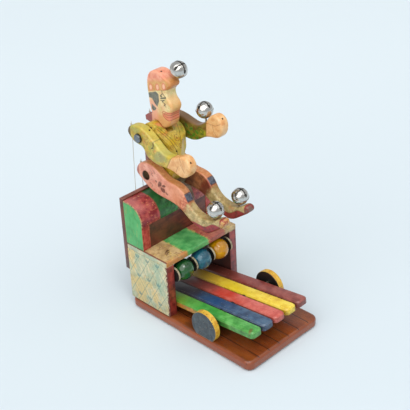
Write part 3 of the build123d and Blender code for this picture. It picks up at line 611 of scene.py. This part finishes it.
SLEEVE_SWIRL = (((43.5, 225.5), 4.6, 1.0), ((43.0, 225.0), 2.3, 1.2))
THIGH_LEAVES = (
    ((68.6, 166.4), (3.0, 5.0), 24, 0.3), ((63.8, 161.6), (3.6, 4.4), -40, 0.3),
    ((61.6, 166.8), (1.6, 3.2), 70, 0.35))
THIGH_VEIN = [(71, 162), (66, 164.5), (61, 164)]
THIGH_DOTS = (((74.6, 168.8), (1.8, 1.4), 10, 0.4), ((57.4, 158.4), (1.5, 2.6), -60, 0.4))
THIGH_STROKES = (
    [(83.0, 180.4), (80.2, 177.4), (82.4, 175.6), (79.6, 173.6)],
    [(78.0, 181.6), (75.6, 178.4)], [(84.6, 163.4), (81.0, 161.4), (82.6, 159.2)])
THIGH_INNER = 14.6
GARTERS, GARTER_HALF = {-1: 4.6, 1: 9.2}, 4.1
SOLE_LINE = 137.4
SHOE_TIPS = {-1: (80, 62, 36), 1: (42, 34, 28)}
FACE_BRUSH, LIMB_BRUSH = (1, 1, 3), (1, 3, 1)


def hat_tone(f, sketch, side, lean):
    """Pink crown, ochre band and pale ovals with pink outlines."""
    crown = f.brushed((90, 58, 45), (84, 44, 34), (94, 70, 58), (1, 1, 3), 8, 4)
    band = f.brushed((84, 64, 34), (76, 48, 18), (90, 74, 50), (1, 3, 1), 7, 6)
    hat = band.over((lean + f.wander(5, 8, 3)).above(BAND_TOP, 4.0), crown)
    hat = hat.over((f.ny.below(-0.1, 0.3) & lean.below(288, 3)) * 0.7, (72, 42, 20))
    for centre in HAT_OVALS:
        hat = hat.layers(
            (sketch.oval(centre, (3.3, 4.5), 8, 0.3) * side * 0.75, (85, 42, 32)),
            (sketch.oval(centre, (2.1, 3.1), 8, 0.35) * side * 0.8, (95, 76, 62)))
    return hat


def head_finish(c):
    f = Finish("head_paint")
    y, z = f.y, f.z
    sketch = Sketch(y, z)
    side = abs(f.nx).above(0.55, 0.15)
    face = f.brushed(c.skin, (84, 62, 38), (92, 85, 64), (1, 1, 4), 8, 2).layers(
        (f.blots(7, 0.58, 0.08, 7, 4) * 0.45, (78, 76, 46)),
        ((f.ny.below(-0.25, 0.3) & z.below(268, 5)) * 0.55, (86, 62, 36)),
        ((z + (y - HEAD_Y) * 0.25).below(249.0, 6.0) * 0.7, (84, 56, 34)),
        ((y.above(82, 4) & z.below(262, 6)) * 0.8, (92, 64, 54)),
        (sketch.oval((72.0, 256.5), (3.5, 3.0), 0, 0.8) * side * 0.25, (85, 50, 34)))
    lean = z + (y - HEAD_Y) * HAT_SLOPE
    brim = lean + f.wander(1.2, 7, 1)
    brim_line = abs(brim - BRIM).below(0.45, 0.35) * (y.below(72, 4) * 0.5 + 0.2)
    stray = f.wander(1.0, 3.0, 2)
    loose = Sketch(y + stray, z + stray)
    hair = union(*(loose.patch(points) for points in HAIR))
    grey = f.brushed((36, 38, 34), (23, 25, 22), (50, 51, 45), (1, 1, 4), 4, 9)
    ink = union(sketch.stroke(EYE_OUTLINE, 0.95), sketch.oval((73.6, 270.2), (1.3, 0.9), -16, 0.35),
                *(sketch.stroke(points, width) for points, width in EYE_LINES))
    lips = sketch.oval((63.5, 248.2), (10.4, 4.9), -8, 0.14) & z.below(253.6, 0.6)
    paint = face.over(brim.above(BRIM, 0.4), hat_tone(f, sketch, side, lean)).layers(
        (brim_line, (62, 34, 14)),
        (hair * side * f.blots(1.4, 0.24, 0.12, 5) * 0.95, grey),
        (ink * side * f.blots(0.9, 0.24, 0.16, 3, 2) * 0.95, (26, 26, 18)),
        (lips * 0.75, (86, 50, 40)),
        (union(*(sketch.stroke(*line) for line in LIP_LINES)) * 0.85, (70, 24, 20)),
        (sketch.stroke(GUM_LINE, 1.6, 0.6) * 0.6, (62, 36, 20)),
        (f.blots(2.0, 0.64, 0.05, 31, 4, 0.7) * 0.3, (62, 42, 20)),
        (y.above(97.5, 0.8) * z.below(262, 2) * 0.85, (52, 14, 18)))
    return f.painted(f.worn(paint, (94, 80, 60), 0.5, 1.0, 4), 0.38, FACE_BRUSH)


def coat_tone(f, c, shift):
    """Yellow coat paint gone green, orange and brown in places, with broken dark scrolls."""
    scroll = abs(f.noise(6.5, 2, 0.5, shift=shift + 40, distortion=1.2) - 0.5).below(0.014, 0.010)
    return f.brushed(c.coat, (58, 44, 12), (86, 78, 40), (1, 1, 3), 7, shift).layers(
        (f.blots(9, 0.56, 0.07, shift + 5, 4, 0.6) * 0.65, (54, 58, 20)),
        (f.blots(7, 0.58, 0.06, shift + 12, 4, 0.6) * 0.65, (78, 48, 18)),
        (f.blots(11, 0.58, 0.07, shift + 20, 3, 0.6) * 0.6, (80, 68, 8)),
        (scroll * f.blots(3, 0.46, 0.08, shift, 2) * 0.65, (46, 32, 10)),
        (f.blots(2.0, 0.64, 0.04, shift + 3, 4, 0.7) * 0.5, (42, 30, 10)))


def torso_finish(c):
    f = Finish("torso_paint")
    x, z = f.x, f.z
    sketch = Sketch(x, z)
    front = f.y.below(84, 3)
    collar = (z - 224.5 - abs(x) * 0.75).above(0.0, 1.0) & front
    seams = union(*(sketch.stroke(points, width, 0.3) for points, width in LAPELS))
    coat = coat_tone(f, c, 1).layers(
        ((z.below(214, 12) & abs(x).below(14, 6) & front) * 0.6, (78, 64, 8)),
        (collar * 0.9, (84, 56, 36)),
        (sketch.oval((0.6, 229.5), (1.7, 3.0), 14, 0.3) & front, (30, 7, 5)),
        (seams * f.y.below(90, 3) * f.blots(2.5, 0.36, 0.12, 2) * 0.8, (36, 26, 8)))
    for cx, cz, r in ROSETTES:
        rosette = sketch.ring((cx, cz), r, 0.8) | sketch.oval((cx, cz), (r * 0.4, r * 0.4), 0, 0.4)
        coat = coat.over((rosette & front) * f.blots(1.2, 0.42, 0.1, cx) * 0.75, (50, 24, 12))
    coat = coat.over((f.y.above(74, 8) & z.below(196, 8)) * 0.6, (44, 28, 16))
    return f.painted(f.worn(coat, (88, 80, 52), 0.5, 1.0, 3), 0.38, FACE_BRUSH)


def pelvis_finish():
    f = Finish("pelvis_paint")
    coat = f.brushed((76, 64, 8), (58, 44, 6), (86, 78, 24), (1, 1, 3), 6)
    low = f.brushed((34, 27, 18), (22, 16, 11), (54, 50, 36), (3, 1, 1), 6, 4)
    paint = coat.layers(
        (f.z.below(165, 3), low),
        ((f.y.above(72, 3) & f.z.above(165, 3)) * 0.85, (60, 44, 46)))
    return f.painted(paint, 0.44, FACE_BRUSH, 0.12, 0.2)


def lifted(f, drop):
    """Side-view axes of an arm hanging by drop degrees, as they are while the arm is level."""
    c, s = cos(radians(drop)), sin(radians(drop))
    dy, dz = f.y - SHOULDER_Y, f.z - SHOULDER_Z
    return dy * c + dz * s + SHOULDER_Y, dz * c - dy * s + SHOULDER_Z


def fist_tone(f, side):
    fingers = union(*(Sketch(f.y, f.z).stroke(points, 0.8, 0.5) for points in FINGER_LINES[side]))
    return f.brushed((89, 68, 44), (82, 54, 30), (93, 77, 56), (1, 3, 1), 7, side * 4.0).layers(
        (f.blots(3, 0.62, 0.05, side * 7.0, 5, 0.7) * 0.4, (78, 58, 28)),
        (fingers * f.blots(2, 0.30, 0.12, 2, 2) * 0.7, (66, 36, 15)))


def right_sleeve(f, c):
    sketch = Sketch(f.y, f.z)
    return coat_tone(f, c, 7).layers(
        (f.blots(12, 0.50, 0.1, 30) * 0.6, (62, 62, 26)),
        (sketch.oval((56, 209), (11, 6.5), -28, 0.5) * 0.65, (56, 60, 38)),
        (sketch.stroke(SLEEVE_COMMA, 1.5, 0.3) * 0.85, (22, 14, 8)),
        (union(*(sketch.ring(*ring) for ring in SLEEVE_RINGS)) * 0.7, (56, 34, 20)),
        # Painted highlight: the narrow edge faces lighter yellow.
        ((1.0 - abs(f.nx)).above(0.25, 0.2) * 0.4, (84, 78, 36)))


def left_sleeve(f, y, z):
    """Green sleeve with scattered leaves and a swirl above the cuff."""
    sketch = Sketch(y, z)
    upper = (1.0 - abs(f.nx)).above(0.3, 0.2) & f.nz.above(0.2, 0.2)
    leaves = union(*(sketch.oval(centre, (3.3, 2.0), turn, 0.3) for centre, turn in SLEEVE_LEAVES))
    veins = union(*(sketch.oval(centre, (3.4, 0.45), turn, 0.4) for centre, turn in SLEEVE_LEAVES))
    return f.brushed((44, 42, 10), (24, 20, 7), (62, 60, 18), (1, 3, 1), 7, 3).layers(
        ((z.below(213, 3) | y.below(44, 5)) * 0.75, (66, 66, 14)),
        (y.above(76, 8) * 0.5, (60, 56, 14)),
        ((z - 224.0 - (y - 60.0) * 0.06).above(5.0, 2.5) * 0.7, (42, 28, 16)),
        (f.blots(5, 0.58, 0.05, 4, 4) * 0.7, (40, 18, 9)),
        (upper * 0.8, (56, 42, 26)),
        (leaves * 0.9, (24, 52, 10)),
        (veins * 0.7, (8, 20, 5)),
        (union(*(sketch.ring(*ring) for ring in SLEEVE_SWIRL)) * 0.85, (14, 36, 6)),
        (y.above(62, 8) * y.below(80, 8) * 0.4, (20, 12, 5)))


def arm_finish(c, side):
    f = Finish("sleeve_right_paint" if side < 0 else "sleeve_left_paint")
    y, z = lifted(f, RIGHT_ARM_DROP if side < 0 else 0.0)
    cuff, wrist = y + (z - 230.0) * 0.08 + f.wander(0.8, 5, 3), WRISTS[side]
    sleeve = right_sleeve(f, c) if side < 0 else left_sleeve(f, y, z)
    paint = sleeve.layers(
        (cuff.below(wrist, 0.4), fist_tone(f, side)),
        (abs(cuff - wrist - 0.2).below(0.5, 0.4) * 0.6, (54, 34, 14)),
        (f.dots(6.5, 0.4, 3) * 0.7, (36, 20, 8)),
        (f.y.above(104.5, 1.2) * 0.85, (24, 9, 9)))
    return f.painted(f.worn(paint, (90, 80, 52), 0.5, 1.0, 4), 0.38, LIMB_BRUSH)


def thigh_tone(f, c, flat, inner):
    """Pink thigh with a dark leaf pair and small marks, browner inside and on the narrow faces."""
    sketch = Sketch(f.y, f.z)
    leaves = union(*(sketch.oval(*leaf) for leaf in THIGH_LEAVES))
    leaves = leaves * (1.0 - sketch.stroke(THIGH_VEIN, 1.1, 0.5) * 0.8)
    marks = union(*(sketch.oval(*dot) for dot in THIGH_DOTS),
                  *(sketch.stroke(points, 1.0, 0.4) * 0.8 for points in THIGH_STROKES))
    drawing = (leaves | (marks * 0.8)) * f.blots(1.5, 0.34, 0.12, 4)
    return f.brushed(c.thigh, (80, 48, 39), (93, 70, 60), (1, 3, 1), 8, 2).layers(
        (f.blots(3.0, 0.60, 0.05, 6, 5, 0.72) * 0.45, (64, 34, 25)),
        (f.y.below(52, 10) * 0.5, (86, 56, 36)),
        ((1.0 - flat) * 0.8, (74, 47, 24)),
        # Lighter blots on the narrow faces: paint mottling, and a painted highlight along the top edge.
        ((1.0 - flat) * f.blots(4, 0.54, 0.07, 15, 4, 0.65) * 0.6, (86, 62, 42)),
        (inner * 0.7, (64, 38, 18)),
        (inner * f.blots(7, 0.50, 0.1, 18, 4, 0.65) * 0.6, (34, 18, 10)),
        ((inner & f.y.above(52, 6)) * 0.5, (28, 15, 9)),
        (drawing * flat * 0.85, (34, 20, 16)))


def leg_finish(c, side):
    f = Finish("leg_right_paint" if side < 0 else "leg_left_paint")
    y, z = f.y, f.z
    stray = f.wander(1.2, 5, 3)
    flat = abs(f.nx).above(0.55, 0.15)
    inner = abs(f.x).below(THIGH_INNER, 0.3)
    along = y * 0.81 + z * 0.58 - 111.1
    knee = GARTERS[side]
    stocking = f.brushed((74, 64, 42), (52, 46, 26), (84, 77, 56), (1, 2, 1), 7, 6).layers(
        (f.blots(4, 0.56, 0.05, 14, 5, 0.7) * 0.65, (44, 40, 18)),
        (f.blots(6, 0.60, 0.05, 34, 4, 0.6) * 0.5, (72, 44, 26)),
        ((1.0 - flat) * 0.45, (58, 46, 24)))
    # Darker reddish brown round the knee, darkest on the inner face.
    knee_darkening = abs(along - knee + 1.5 + f.wander(10, 6, 9)).below(6.0, 4.0)
    band = abs(along - knee + stray * 0.2)
    on_front = (1.0 - flat) & f.nz.above(0.0, 0.2)
    garter = f.brushed((26, 27, 33), (15, 15, 20), (42, 44, 48), (1, 1, 3), 3, 2)
    sole = z + stray - SOLE_LINE - y.below(-10.0, 9.0) * 9.0
    on_shoe = (sole.below(0.0, 0.5) & y.below(20, 6)) | y.below(-27.0, 0.8)
    shoe = f.brushed(c.shoe, (32, 4, 5), (64, 17, 18), (1, 4, 1), 6, 4)
    tip = (y + (z - 152) * 0.3).below(-28.5, 0.9)
    paint = thigh_tone(f, c, flat, inner).layers(
        ((along + stray * 2.0).below(knee - 4.6, 0.8), stocking),
        (knee_darkening * f.blots(3.0, 0.44, 0.08, 8, 4) * 0.75, (68, 27, 14)),
        ((inner & knee_darkening) * 0.7, (34, 10, 7)),
        ((band.below(GARTER_HALF + 1.0, 0.4) & on_front) * 0.85, (34, 16, 10)),
        (band.below(GARTER_HALF, 0.4) & on_front, garter),
        (abs(sole).below(0.6, 0.5) * y.below(16, 6) * 0.6, (36, 22, 10)),
        (on_shoe, shoe),
        (tip * f.blots(3, 0.44, 0.1, 3) * 0.85, SHOE_TIPS[side]),
        (f.dots(6.5, 0.4, 1) * 0.6, (42, 22, 12)),
        (y.above(103.5, 1.0) * 0.7, (60, 22, 20)))
    return f.painted(f.worn(paint, (90, 72, 54), 0.5, 1.0, 6), 0.36, LIMB_BRUSH, coat=0.28)


# ---------------------------------------------------------------- metal, fibre and string
METALS = {  # colour, roughness, scratches, their stretch, colour and share of the stains
    "pin_steel": ((52, 54, 56), 0.34, 1.0, (1, 1, 1), (28, 26, 25), 0.5),
    "axle_steel": ((55, 55, 54), 0.3, 1.0, (9, 1, 1), (20, 17, 14), 0.4),
    "nail_iron": ((16, 13, 12), 0.45, 1.0, (1, 1, 1), (20, 17, 14), 0.4),
    "bell_nickel": ((80, 79, 77), 0.10, 0.6, (1, 1, 1), (35, 30, 26), 0.3),
    "tack_bronze": ((28, 22, 16), 0.36, 1.2, (1, 1, 1), (10, 8, 7), 0.7),
    "screw_brass": ((72, 58, 30), 0.34, 1.0, (1, 1, 1), (30, 20, 12), 0.5),
}


def metal_finish(name):
    base, rough, scratch, along, dirt, dirt_amount = METALS[name]
    f = Finish(name)
    lines = f.noise(0.5, 3, 0.6, along)
    stains = f.blots(2.6, 0.60, 0.08, 3, 4, 0.65) * dirt_amount
    return f.done(f.mix(stains, base, dirt), rough + lines * 0.18 * scratch + stains * 0.2, metal=1.0,
                  bump=lines, height=0.02 * scratch)


def cord_finish():
    f = Finish("string_cotton")
    twist = (f.z * 7.0 + f.x * 5.0).maths("SINE")
    return f.done(f.mix(twist.above(0.0, 0.7) * 0.5, (80, 79, 74), (55, 53, 47)), 0.8, bump=twist, height=0.05)


def plain_finish(name, base, dark, light, rough):
    f = Finish(name)
    return f.done(f.brushed(base, dark, light, (1, 1, 1), 3), rough, bump=f.noise(0.7), height=0.05)


# ---------------------------------------------------------------- modelling helpers
def give(material, *names):
    for name in names:
        mesh = NODES[name].data
        mesh.materials.clear()
        mesh.materials.append(material)


def deselect():
    if bpy.context.object and bpy.context.object.mode != "OBJECT":
        bpy.ops.object.mode_set(mode="OBJECT")
    bpy.ops.object.select_all(action="DESELECT")


def activate(piece):
    deselect()
    piece.select_set(True)
    bpy.context.view_layer.objects.active = piece


def settle(piece, name, material, body, slot):
    """Bakes the piece's place into its mesh, names it, paints it and lets it ride on its body."""
    activate(piece)
    bpy.ops.object.transform_apply(location=True, rotation=True, scale=True)
    piece.name = name
    piece.data.name = name
    piece.data.materials.clear()
    piece.data.materials.append(material)
    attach(piece, body)
    return piece


def merged_copy(node):
    """A CAD node's copy with its loose triangles joined."""
    piece = NODES[node].copy()
    piece.data = NODES[node].data.copy()
    for key in list(piece.keys()):
        del piece[key]
    bpy.context.scene.collection.objects.link(piece)
    piece.parent = None
    piece.matrix_world = Matrix.Identity(4)
    activate(piece)
    bpy.ops.object.mode_set(mode="EDIT")
    bpy.ops.mesh.select_all(action="SELECT")
    bpy.ops.mesh.remove_doubles(threshold=MERGE_DISTANCE)
    bpy.ops.mesh.dissolve_limited(angle_limit=radians(FLAT_ANGLE))
    bpy.ops.object.mode_set(mode="OBJECT")
    return piece


def eased(node, width, material, slot, body="case"):
    """A CAD board's stand-in with its edges eased, as sanding and handling leave them."""
    piece = merged_copy(node)
    bevel = piece.modifiers.new("Eased edges", "BEVEL")
    bevel.width, bevel.segments, bevel.limit_method = width, 2, "ANGLE"
    bevel.angle_limit = radians(EASED_ANGLE)
    bevel.use_clamp_overlap = True
    bpy.ops.object.modifier_apply(modifier=bevel.name)
    bpy.ops.object.shade_smooth_by_angle(angle=radians(SMOOTH_ANGLE))
    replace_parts(settle(piece, f"{node}_eased", material, body, slot), node)


def smooth_node(*names):
    for name in names:
        activate(NODES[name])
        bpy.ops.object.shade_smooth_by_angle(angle=radians(NODE_SMOOTH_ANGLE))


def nail(name, at, direction, radius, body, material):
    """A small nail head: a squashed dome sunk into the wood."""
    deselect()
    bpy.ops.mesh.primitive_uv_sphere_add(segments=20, ring_count=12, radius=radius, location=(0, 0, 0))
    head = bpy.context.object
    bpy.ops.object.mode_set(mode="EDIT")
    bpy.ops.mesh.select_all(action="SELECT")
    bpy.ops.transform.resize(value=(1, 1, NAIL_FLATNESS))
    bpy.ops.object.mode_set(mode="OBJECT")
    turn = Vector(direction).to_track_quat("Z", "Y").to_matrix().to_4x4()
    head.matrix_world = Matrix.Translation(Vector(at)) @ turn
    bpy.ops.object.shade_smooth()
    settle(head, name, material, body, "axle_steel")


def top_of(node, x, y, clear):
    """Height of a node's upper surface beside a hole at x, y."""
    found = [node.ray_cast(Vector((x + dx, y + dy, 1.0)), Vector((0, 0, -1)))
             for dx, dy in ((clear, 0), (-clear, 0), (0, clear), (0, -clear))]
    heights = [place.z for hit, place, _, _ in found if hit]
    if not heights:
        raise RuntimeError(f"no surface over {node.name}")
    return max(heights)


def island_centres(piece):
    """Centre of each loose part of a mesh."""
    mesh = piece.data
    parent = list(range(len(mesh.vertices)))

    def root(i):
        while parent[i] != i:
            parent[i] = parent[parent[i]]
            i = parent[i]
        return i

    for edge in mesh.edges:
        a, b = (root(i) for i in edge.vertices)
        parent[a] = b
    groups = {}
    for v in mesh.vertices:
        groups.setdefault(root(v.index), []).append(v.co)
    return [sum(points, Vector()) / len(points) for points in groups.values()]


def slotted(node, width, material, slot):
    """Screws copied from a CAD node, with a driver slot cut into every head."""
    piece = merged_copy(node)
    rear = max(v.co.y for v in piece.data.vertices)
    for index, centre in enumerate(island_centres(piece)):
        deselect()
        bpy.ops.mesh.primitive_cube_add(size=1, location=(centre.x, rear, centre.z),
                                        rotation=(0, radians(SLOT_TURN + SLOT_TURN_STEP * index), 0))
        cutter = bpy.context.object
        cutter.scale = (SLOT_LENGTH, SLOT_DEPTH, width)
        activate(piece)
        cut = piece.modifiers.new("Slot", "BOOLEAN")
        cut.operation, cut.solver, cut.object = "DIFFERENCE", "EXACT", cutter
        bpy.ops.object.modifier_apply(modifier=cut.name)
        bpy.data.objects.remove(cutter)
    bpy.ops.object.shade_smooth_by_angle(angle=radians(SMOOTH_ANGLE))
    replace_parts(settle(piece, f"{node}_slotted", material, "case", slot), node)


def knot(name, at, radius, body, material):
    """A knot: a loop of string twice round, with a short tail end. All its sizes are shares of its radius."""
    deselect()
    turns = []
    for major, height, turn in ((0.62, 0, (0, 0, 0)), (0.55, radius * 0.55, (radians(24), radians(12), 0))):
        bpy.ops.mesh.primitive_torus_add(
            major_segments=28, minor_segments=10, major_radius=radius * major, minor_radius=radius * 0.38,
            location=(0, 0, height), rotation=turn)
        turns.append(bpy.context.object)
    bpy.ops.mesh.primitive_cone_add(
        vertices=12, radius1=radius * 0.34, radius2=radius * 0.2, depth=radius * 2.6,
        location=(radius * 0.5, radius * 0.4, radius * 1.5), rotation=(radians(-28), radians(30), 0))
    end = bpy.context.object
    loop, second = turns
    deselect()
    for part in (second, end, loop):
        part.select_set(True)
    bpy.context.view_layer.objects.active = loop
    bpy.ops.object.join()
    bpy.ops.object.shade_smooth()
    loop.location = at
    settle(loop, name, material, body, "string_cotton")


# ---------------------------------------------------------------- operators
class TOY_OT_stage(bpy.types.Operator):
    """Camera, floor, backdrop light and lamps"""
    bl_idname = "toy.stage"
    bl_label = "Studio"

    def execute(self, context):
        scene = context.scene
        azimuth, elevation, roll = (radians(a) for a in (CAMERA_AZIMUTH, CAMERA_ELEVATION, CAMERA_ROLL))
        back = Vector((sin(azimuth) * cos(elevation), -cos(azimuth) * cos(elevation), sin(elevation)))
        level = Vector((cos(azimuth), sin(azimuth), 0))
        right = level * cos(roll) + back.cross(level) * sin(roll)
        camera = bpy.data.objects.new("Camera", bpy.data.cameras.new("Camera"))
        scene.collection.objects.link(camera)
        turn = Matrix((right, back.cross(right), back)).transposed()
        place = Vector(CAMERA_TARGET) + back * scene.toy_sizes.camera_distance
        camera.matrix_world = Matrix.Translation(place) @ turn.to_4x4()
        camera.data.lens, camera.data.sensor_width = CAMERA_LENS, CAMERA_SENSOR
        camera.data.clip_end = CAMERA_REACH
        scene.camera = camera
        scene.view_settings.view_transform = "Standard"
        deselect()
        bpy.ops.mesh.primitive_plane_add(size=FLOOR_SIZE, location=(0, 0, -FLOOR_DROP))
        floor = context.object
        floor.name = "floor"
        f = Finish("floor_paper")
        # Painted light: the floor paper lighter towards the back.
        painted_light_gradient = f.ramp(f.x * 0.6 + f.y * 0.8, -300.0, 900.0)
        f.done(f.mix(painted_light_gradient, (81.8, 86.2, 88.8), (85.8, 90.2, 92.6)), 0.9)
        f.shader.inputs["Specular IOR Level"].default_value = 0.1
        floor.data.materials.append(f.material)
        world = bpy.data.worlds.new("Studio")
        scene.world = world
        world.use_nodes = True
        sky = world.node_tree.nodes["Background"]
        sky.inputs["Color"].default_value = SKY_COLOUR
        sky.inputs["Strength"].default_value = SKY_STRENGTH
        for name, at, power, spread, tint in SUNS:
            lamp = bpy.data.objects.new(name, bpy.data.lights.new(name, "SUN"))
            lamp.data.energy, lamp.data.angle, lamp.data.color = power, radians(spread), tint
            lamp.rotation_euler = Vector(at).to_track_quat("Z", "Y").to_euler()
            scene.collection.objects.link(lamp)
        window = bpy.data.objects.new("Window", bpy.data.lights.new("Window", "AREA"))
        window.data.size, window.data.energy = WINDOW_SIZE, WINDOW_POWER
        window.location = WINDOW_PLACE
        window.rotation_euler = (WINDOW_PLACE - WINDOW_TARGET).to_track_quat("Z", "Y").to_euler()
        scene.collection.objects.link(window)
        return {"FINISHED"}


class TOY_OT_case(bpy.types.Operator):
    """Base board, box, lid and back panel: eased edges and worn paint"""
    bl_idname = "toy.case"
    bl_label = "Case"

    def execute(self, context):
        c, sizes = context.scene.toy_colours, context.scene.toy_sizes
        give(mahogany_finish(c), "base_board")
        smooth_node("base_board")
        cheek = cheek_finish()
        give(dark_finish("dark_brown_paint", c), "recess_board", "string_guide")
        for node, material, slot in (
                ("side_wall_left", wall_finish(c, -1), "wall_left_paint"),
                ("side_wall_right", wall_finish(c, 1), "wall_right_paint"),
                ("upper_cheek_left", cheek, "cheek_green_paint"),
                ("upper_cheek_right", cheek, "cheek_green_paint"),
                ("ledge_board", ledge_finish(c), "ledge_paint"),
                ("back_panel", dark_finish("panel_paint", c, post=True), "dark_brown_paint")):
            eased(node, sizes.board_edge, material, slot)
        eased("curved_lid", sizes.board_edge * LID_EDGE_SHARE, lid_finish(c), "lid_paint")
        give(plain_finish("felt", (36, 14, 13), (24, 8, 8), (48, 22, 20), 0.95), "rest_felt")
        return {"FINISHED"}


class TOY_OT_keys(bpy.types.Operator):
    """The five finger keys and their pivot blocks"""
    bl_idname = "toy.keys"
    bl_label = "Keys"

    def execute(self, context):
        for key in KEY_PAINTS:
            eased(f"key_{key}", context.scene.toy_sizes.key_edge, key_finish(key), f"key_{key}_paint",
                  f"key_{key}")
        give(block_finish(), "pivot_block_left", "pivot_block_right")
        smooth_node("pivot_block_left", "pivot_block_right")
        return {"FINISHED"}


class TOY_OT_roller(bpy.types.Operator):
    """The roller's three gloss balls and four discs"""
    bl_idname = "toy.roller"
    bl_label = "Roller"

    def execute(self, context):
        for name, tones in BALL_PAINTS.items():
            give(gloss_finish(f"ball_{name}_gloss", *tones), f"roller_ball_{name}")
            smooth_node(f"roller_ball_{name}")
        give(disc_finish(), "roller_discs")
        smooth_node("roller_discs")
        return {"FINISHED"}


class TOY_OT_figure(bpy.types.Operator):
    """The jester: head, torso, pelvis, arms and legs with their painted patterns and nail heads"""
    bl_idname = "toy.figure"
    bl_label = "Figure"

    def execute(self, context):
        c = context.scene.toy_colours
        for name, material in (
                ("head", head_finish(c)), ("torso", torso_finish(c)), ("pelvis", pelvis_finish()),
                ("arm_right", arm_finish(c, -1)), ("arm_left", arm_finish(c, 1)),
                ("leg_right", leg_finish(c, -1)), ("leg_left", leg_finish(c, 1))):
            give(material, name)
            smooth_node(name)
        iron = metal_finish("nail_iron")
        for name, at, direction, body in (
                ("nail_hat", (-0.0036, 0.0763, 0.2979), (0, -0.30, 0.95), "head"),
                ("nail_fist_right", (-0.0285, 0.0105, 0.2154), (0, -0.84, 0.54), "arm_right"),
                ("nail_fist_left", (0.0259, 0.0132, 0.2480), (0, -0.71, 0.71), "arm_left"),
                ("nail_sleeve_right", (-0.0250, 0.0798, 0.2325), (0, -0.45, 0.89), "arm_right"),
                ("nail_chest", (-0.0038, 0.0601, 0.2039), (0, -0.98, 0.19), "case")):
            nail(name, at, direction, context.scene.toy_sizes.nail_radius, body, iron)
        return {"FINISHED"}


class TOY_OT_metal(bpy.types.Operator):
    """Jingle bells, axles, washers, tacks and screws"""
    bl_idname = "toy.metal"
    bl_label = "Metal"

    def execute(self, context):
        fibre = plain_finish("washer_fibre", (9, 8, 8), (4, 4, 4), (16, 14, 14), 0.6)
        for material, names in (
                (metal_finish("bell_nickel"), ("bell_hat", "bell_hand", "bell_foot_right", "bell_foot_left")),
                (metal_finish("pin_steel"), ("shoulder_axle",)),
                (metal_finish("axle_steel"),
                 ("key_axle", "roller_rod", "hip_axle", "neck_axle", "low_string_rod")),
                (fibre, ("shoulder_washers", "key_washers")),
                (metal_finish("tack_bronze"), ("hip_tacks",))):
            give(material, *names)
            smooth_node(*names)
        brass = metal_finish("screw_brass")
        for screws in ("panel_screws", "torso_screws"):
            slotted(screws, context.scene.toy_sizes.screw_slot, brass, "screw_brass")
        return {"FINISHED"}


class TOY_OT_strings(bpy.types.Operator):
    """Strings and the knots that hold them above the limbs' tail holes"""
    bl_idname = "toy.strings"
    bl_label = "Strings"

    def execute(self, context):
        cotton, radius = cord_finish(), context.scene.toy_sizes.knot_radius
        strings = [name for name in NODES if name.startswith("string_") and name != "string_guide"]
        give(cotton, *strings)
        smooth_node(*strings)
        for limb in ("arm_right", "arm_left", "leg_right", "leg_left", "head"):
            top = max((v.co for v in NODES[f"string_{limb}"].data.vertices), key=lambda co: co.z)
            surface = top_of(NODES[limb], top.x, top.y, radius)
            knot(f"knot_{limb}", (top.x, top.y, surface), radius, limb, cotton)
        return {"FINISHED"}


OPERATORS = (TOY_OT_stage, TOY_OT_case, TOY_OT_keys, TOY_OT_roller, TOY_OT_figure, TOY_OT_metal, TOY_OT_strings)


class TOY_PT_panel(bpy.types.Panel):
    """Lists the toy's sizes, colours and steps"""
    bl_label = "Jester toy"
    bl_idname = "TOY_PT_panel"
    bl_space_type = "VIEW_3D"
    bl_region_type = "UI"
    bl_category = "Toy"

    def draw(self, context):
        for group in (context.scene.toy_sizes, context.scene.toy_colours):
            for name in group.__annotations__:
                self.layout.prop(group, name)
        for operator in OPERATORS:
            self.layout.operator(operator.bl_idname)


CLASSES = (ToySizes, ToyColours) + OPERATORS + (TOY_PT_panel,)


def register():
    for cls in CLASSES:
        bpy.utils.register_class(cls)
    bpy.types.Scene.toy_sizes = bpy.props.PointerProperty(type=ToySizes)
    bpy.types.Scene.toy_colours = bpy.props.PointerProperty(type=ToyColours)


def unregister():
    del bpy.types.Scene.toy_sizes
    del bpy.types.Scene.toy_colours
    for cls in reversed(CLASSES):
        bpy.utils.unregister_class(cls)


def main():
    register()
    for step in ("stage", "case", "keys", "roller", "figure", "metal", "strings"):
        getattr(bpy.ops.toy, step)()
    deselect()


if __name__ == "__main__":
    main()
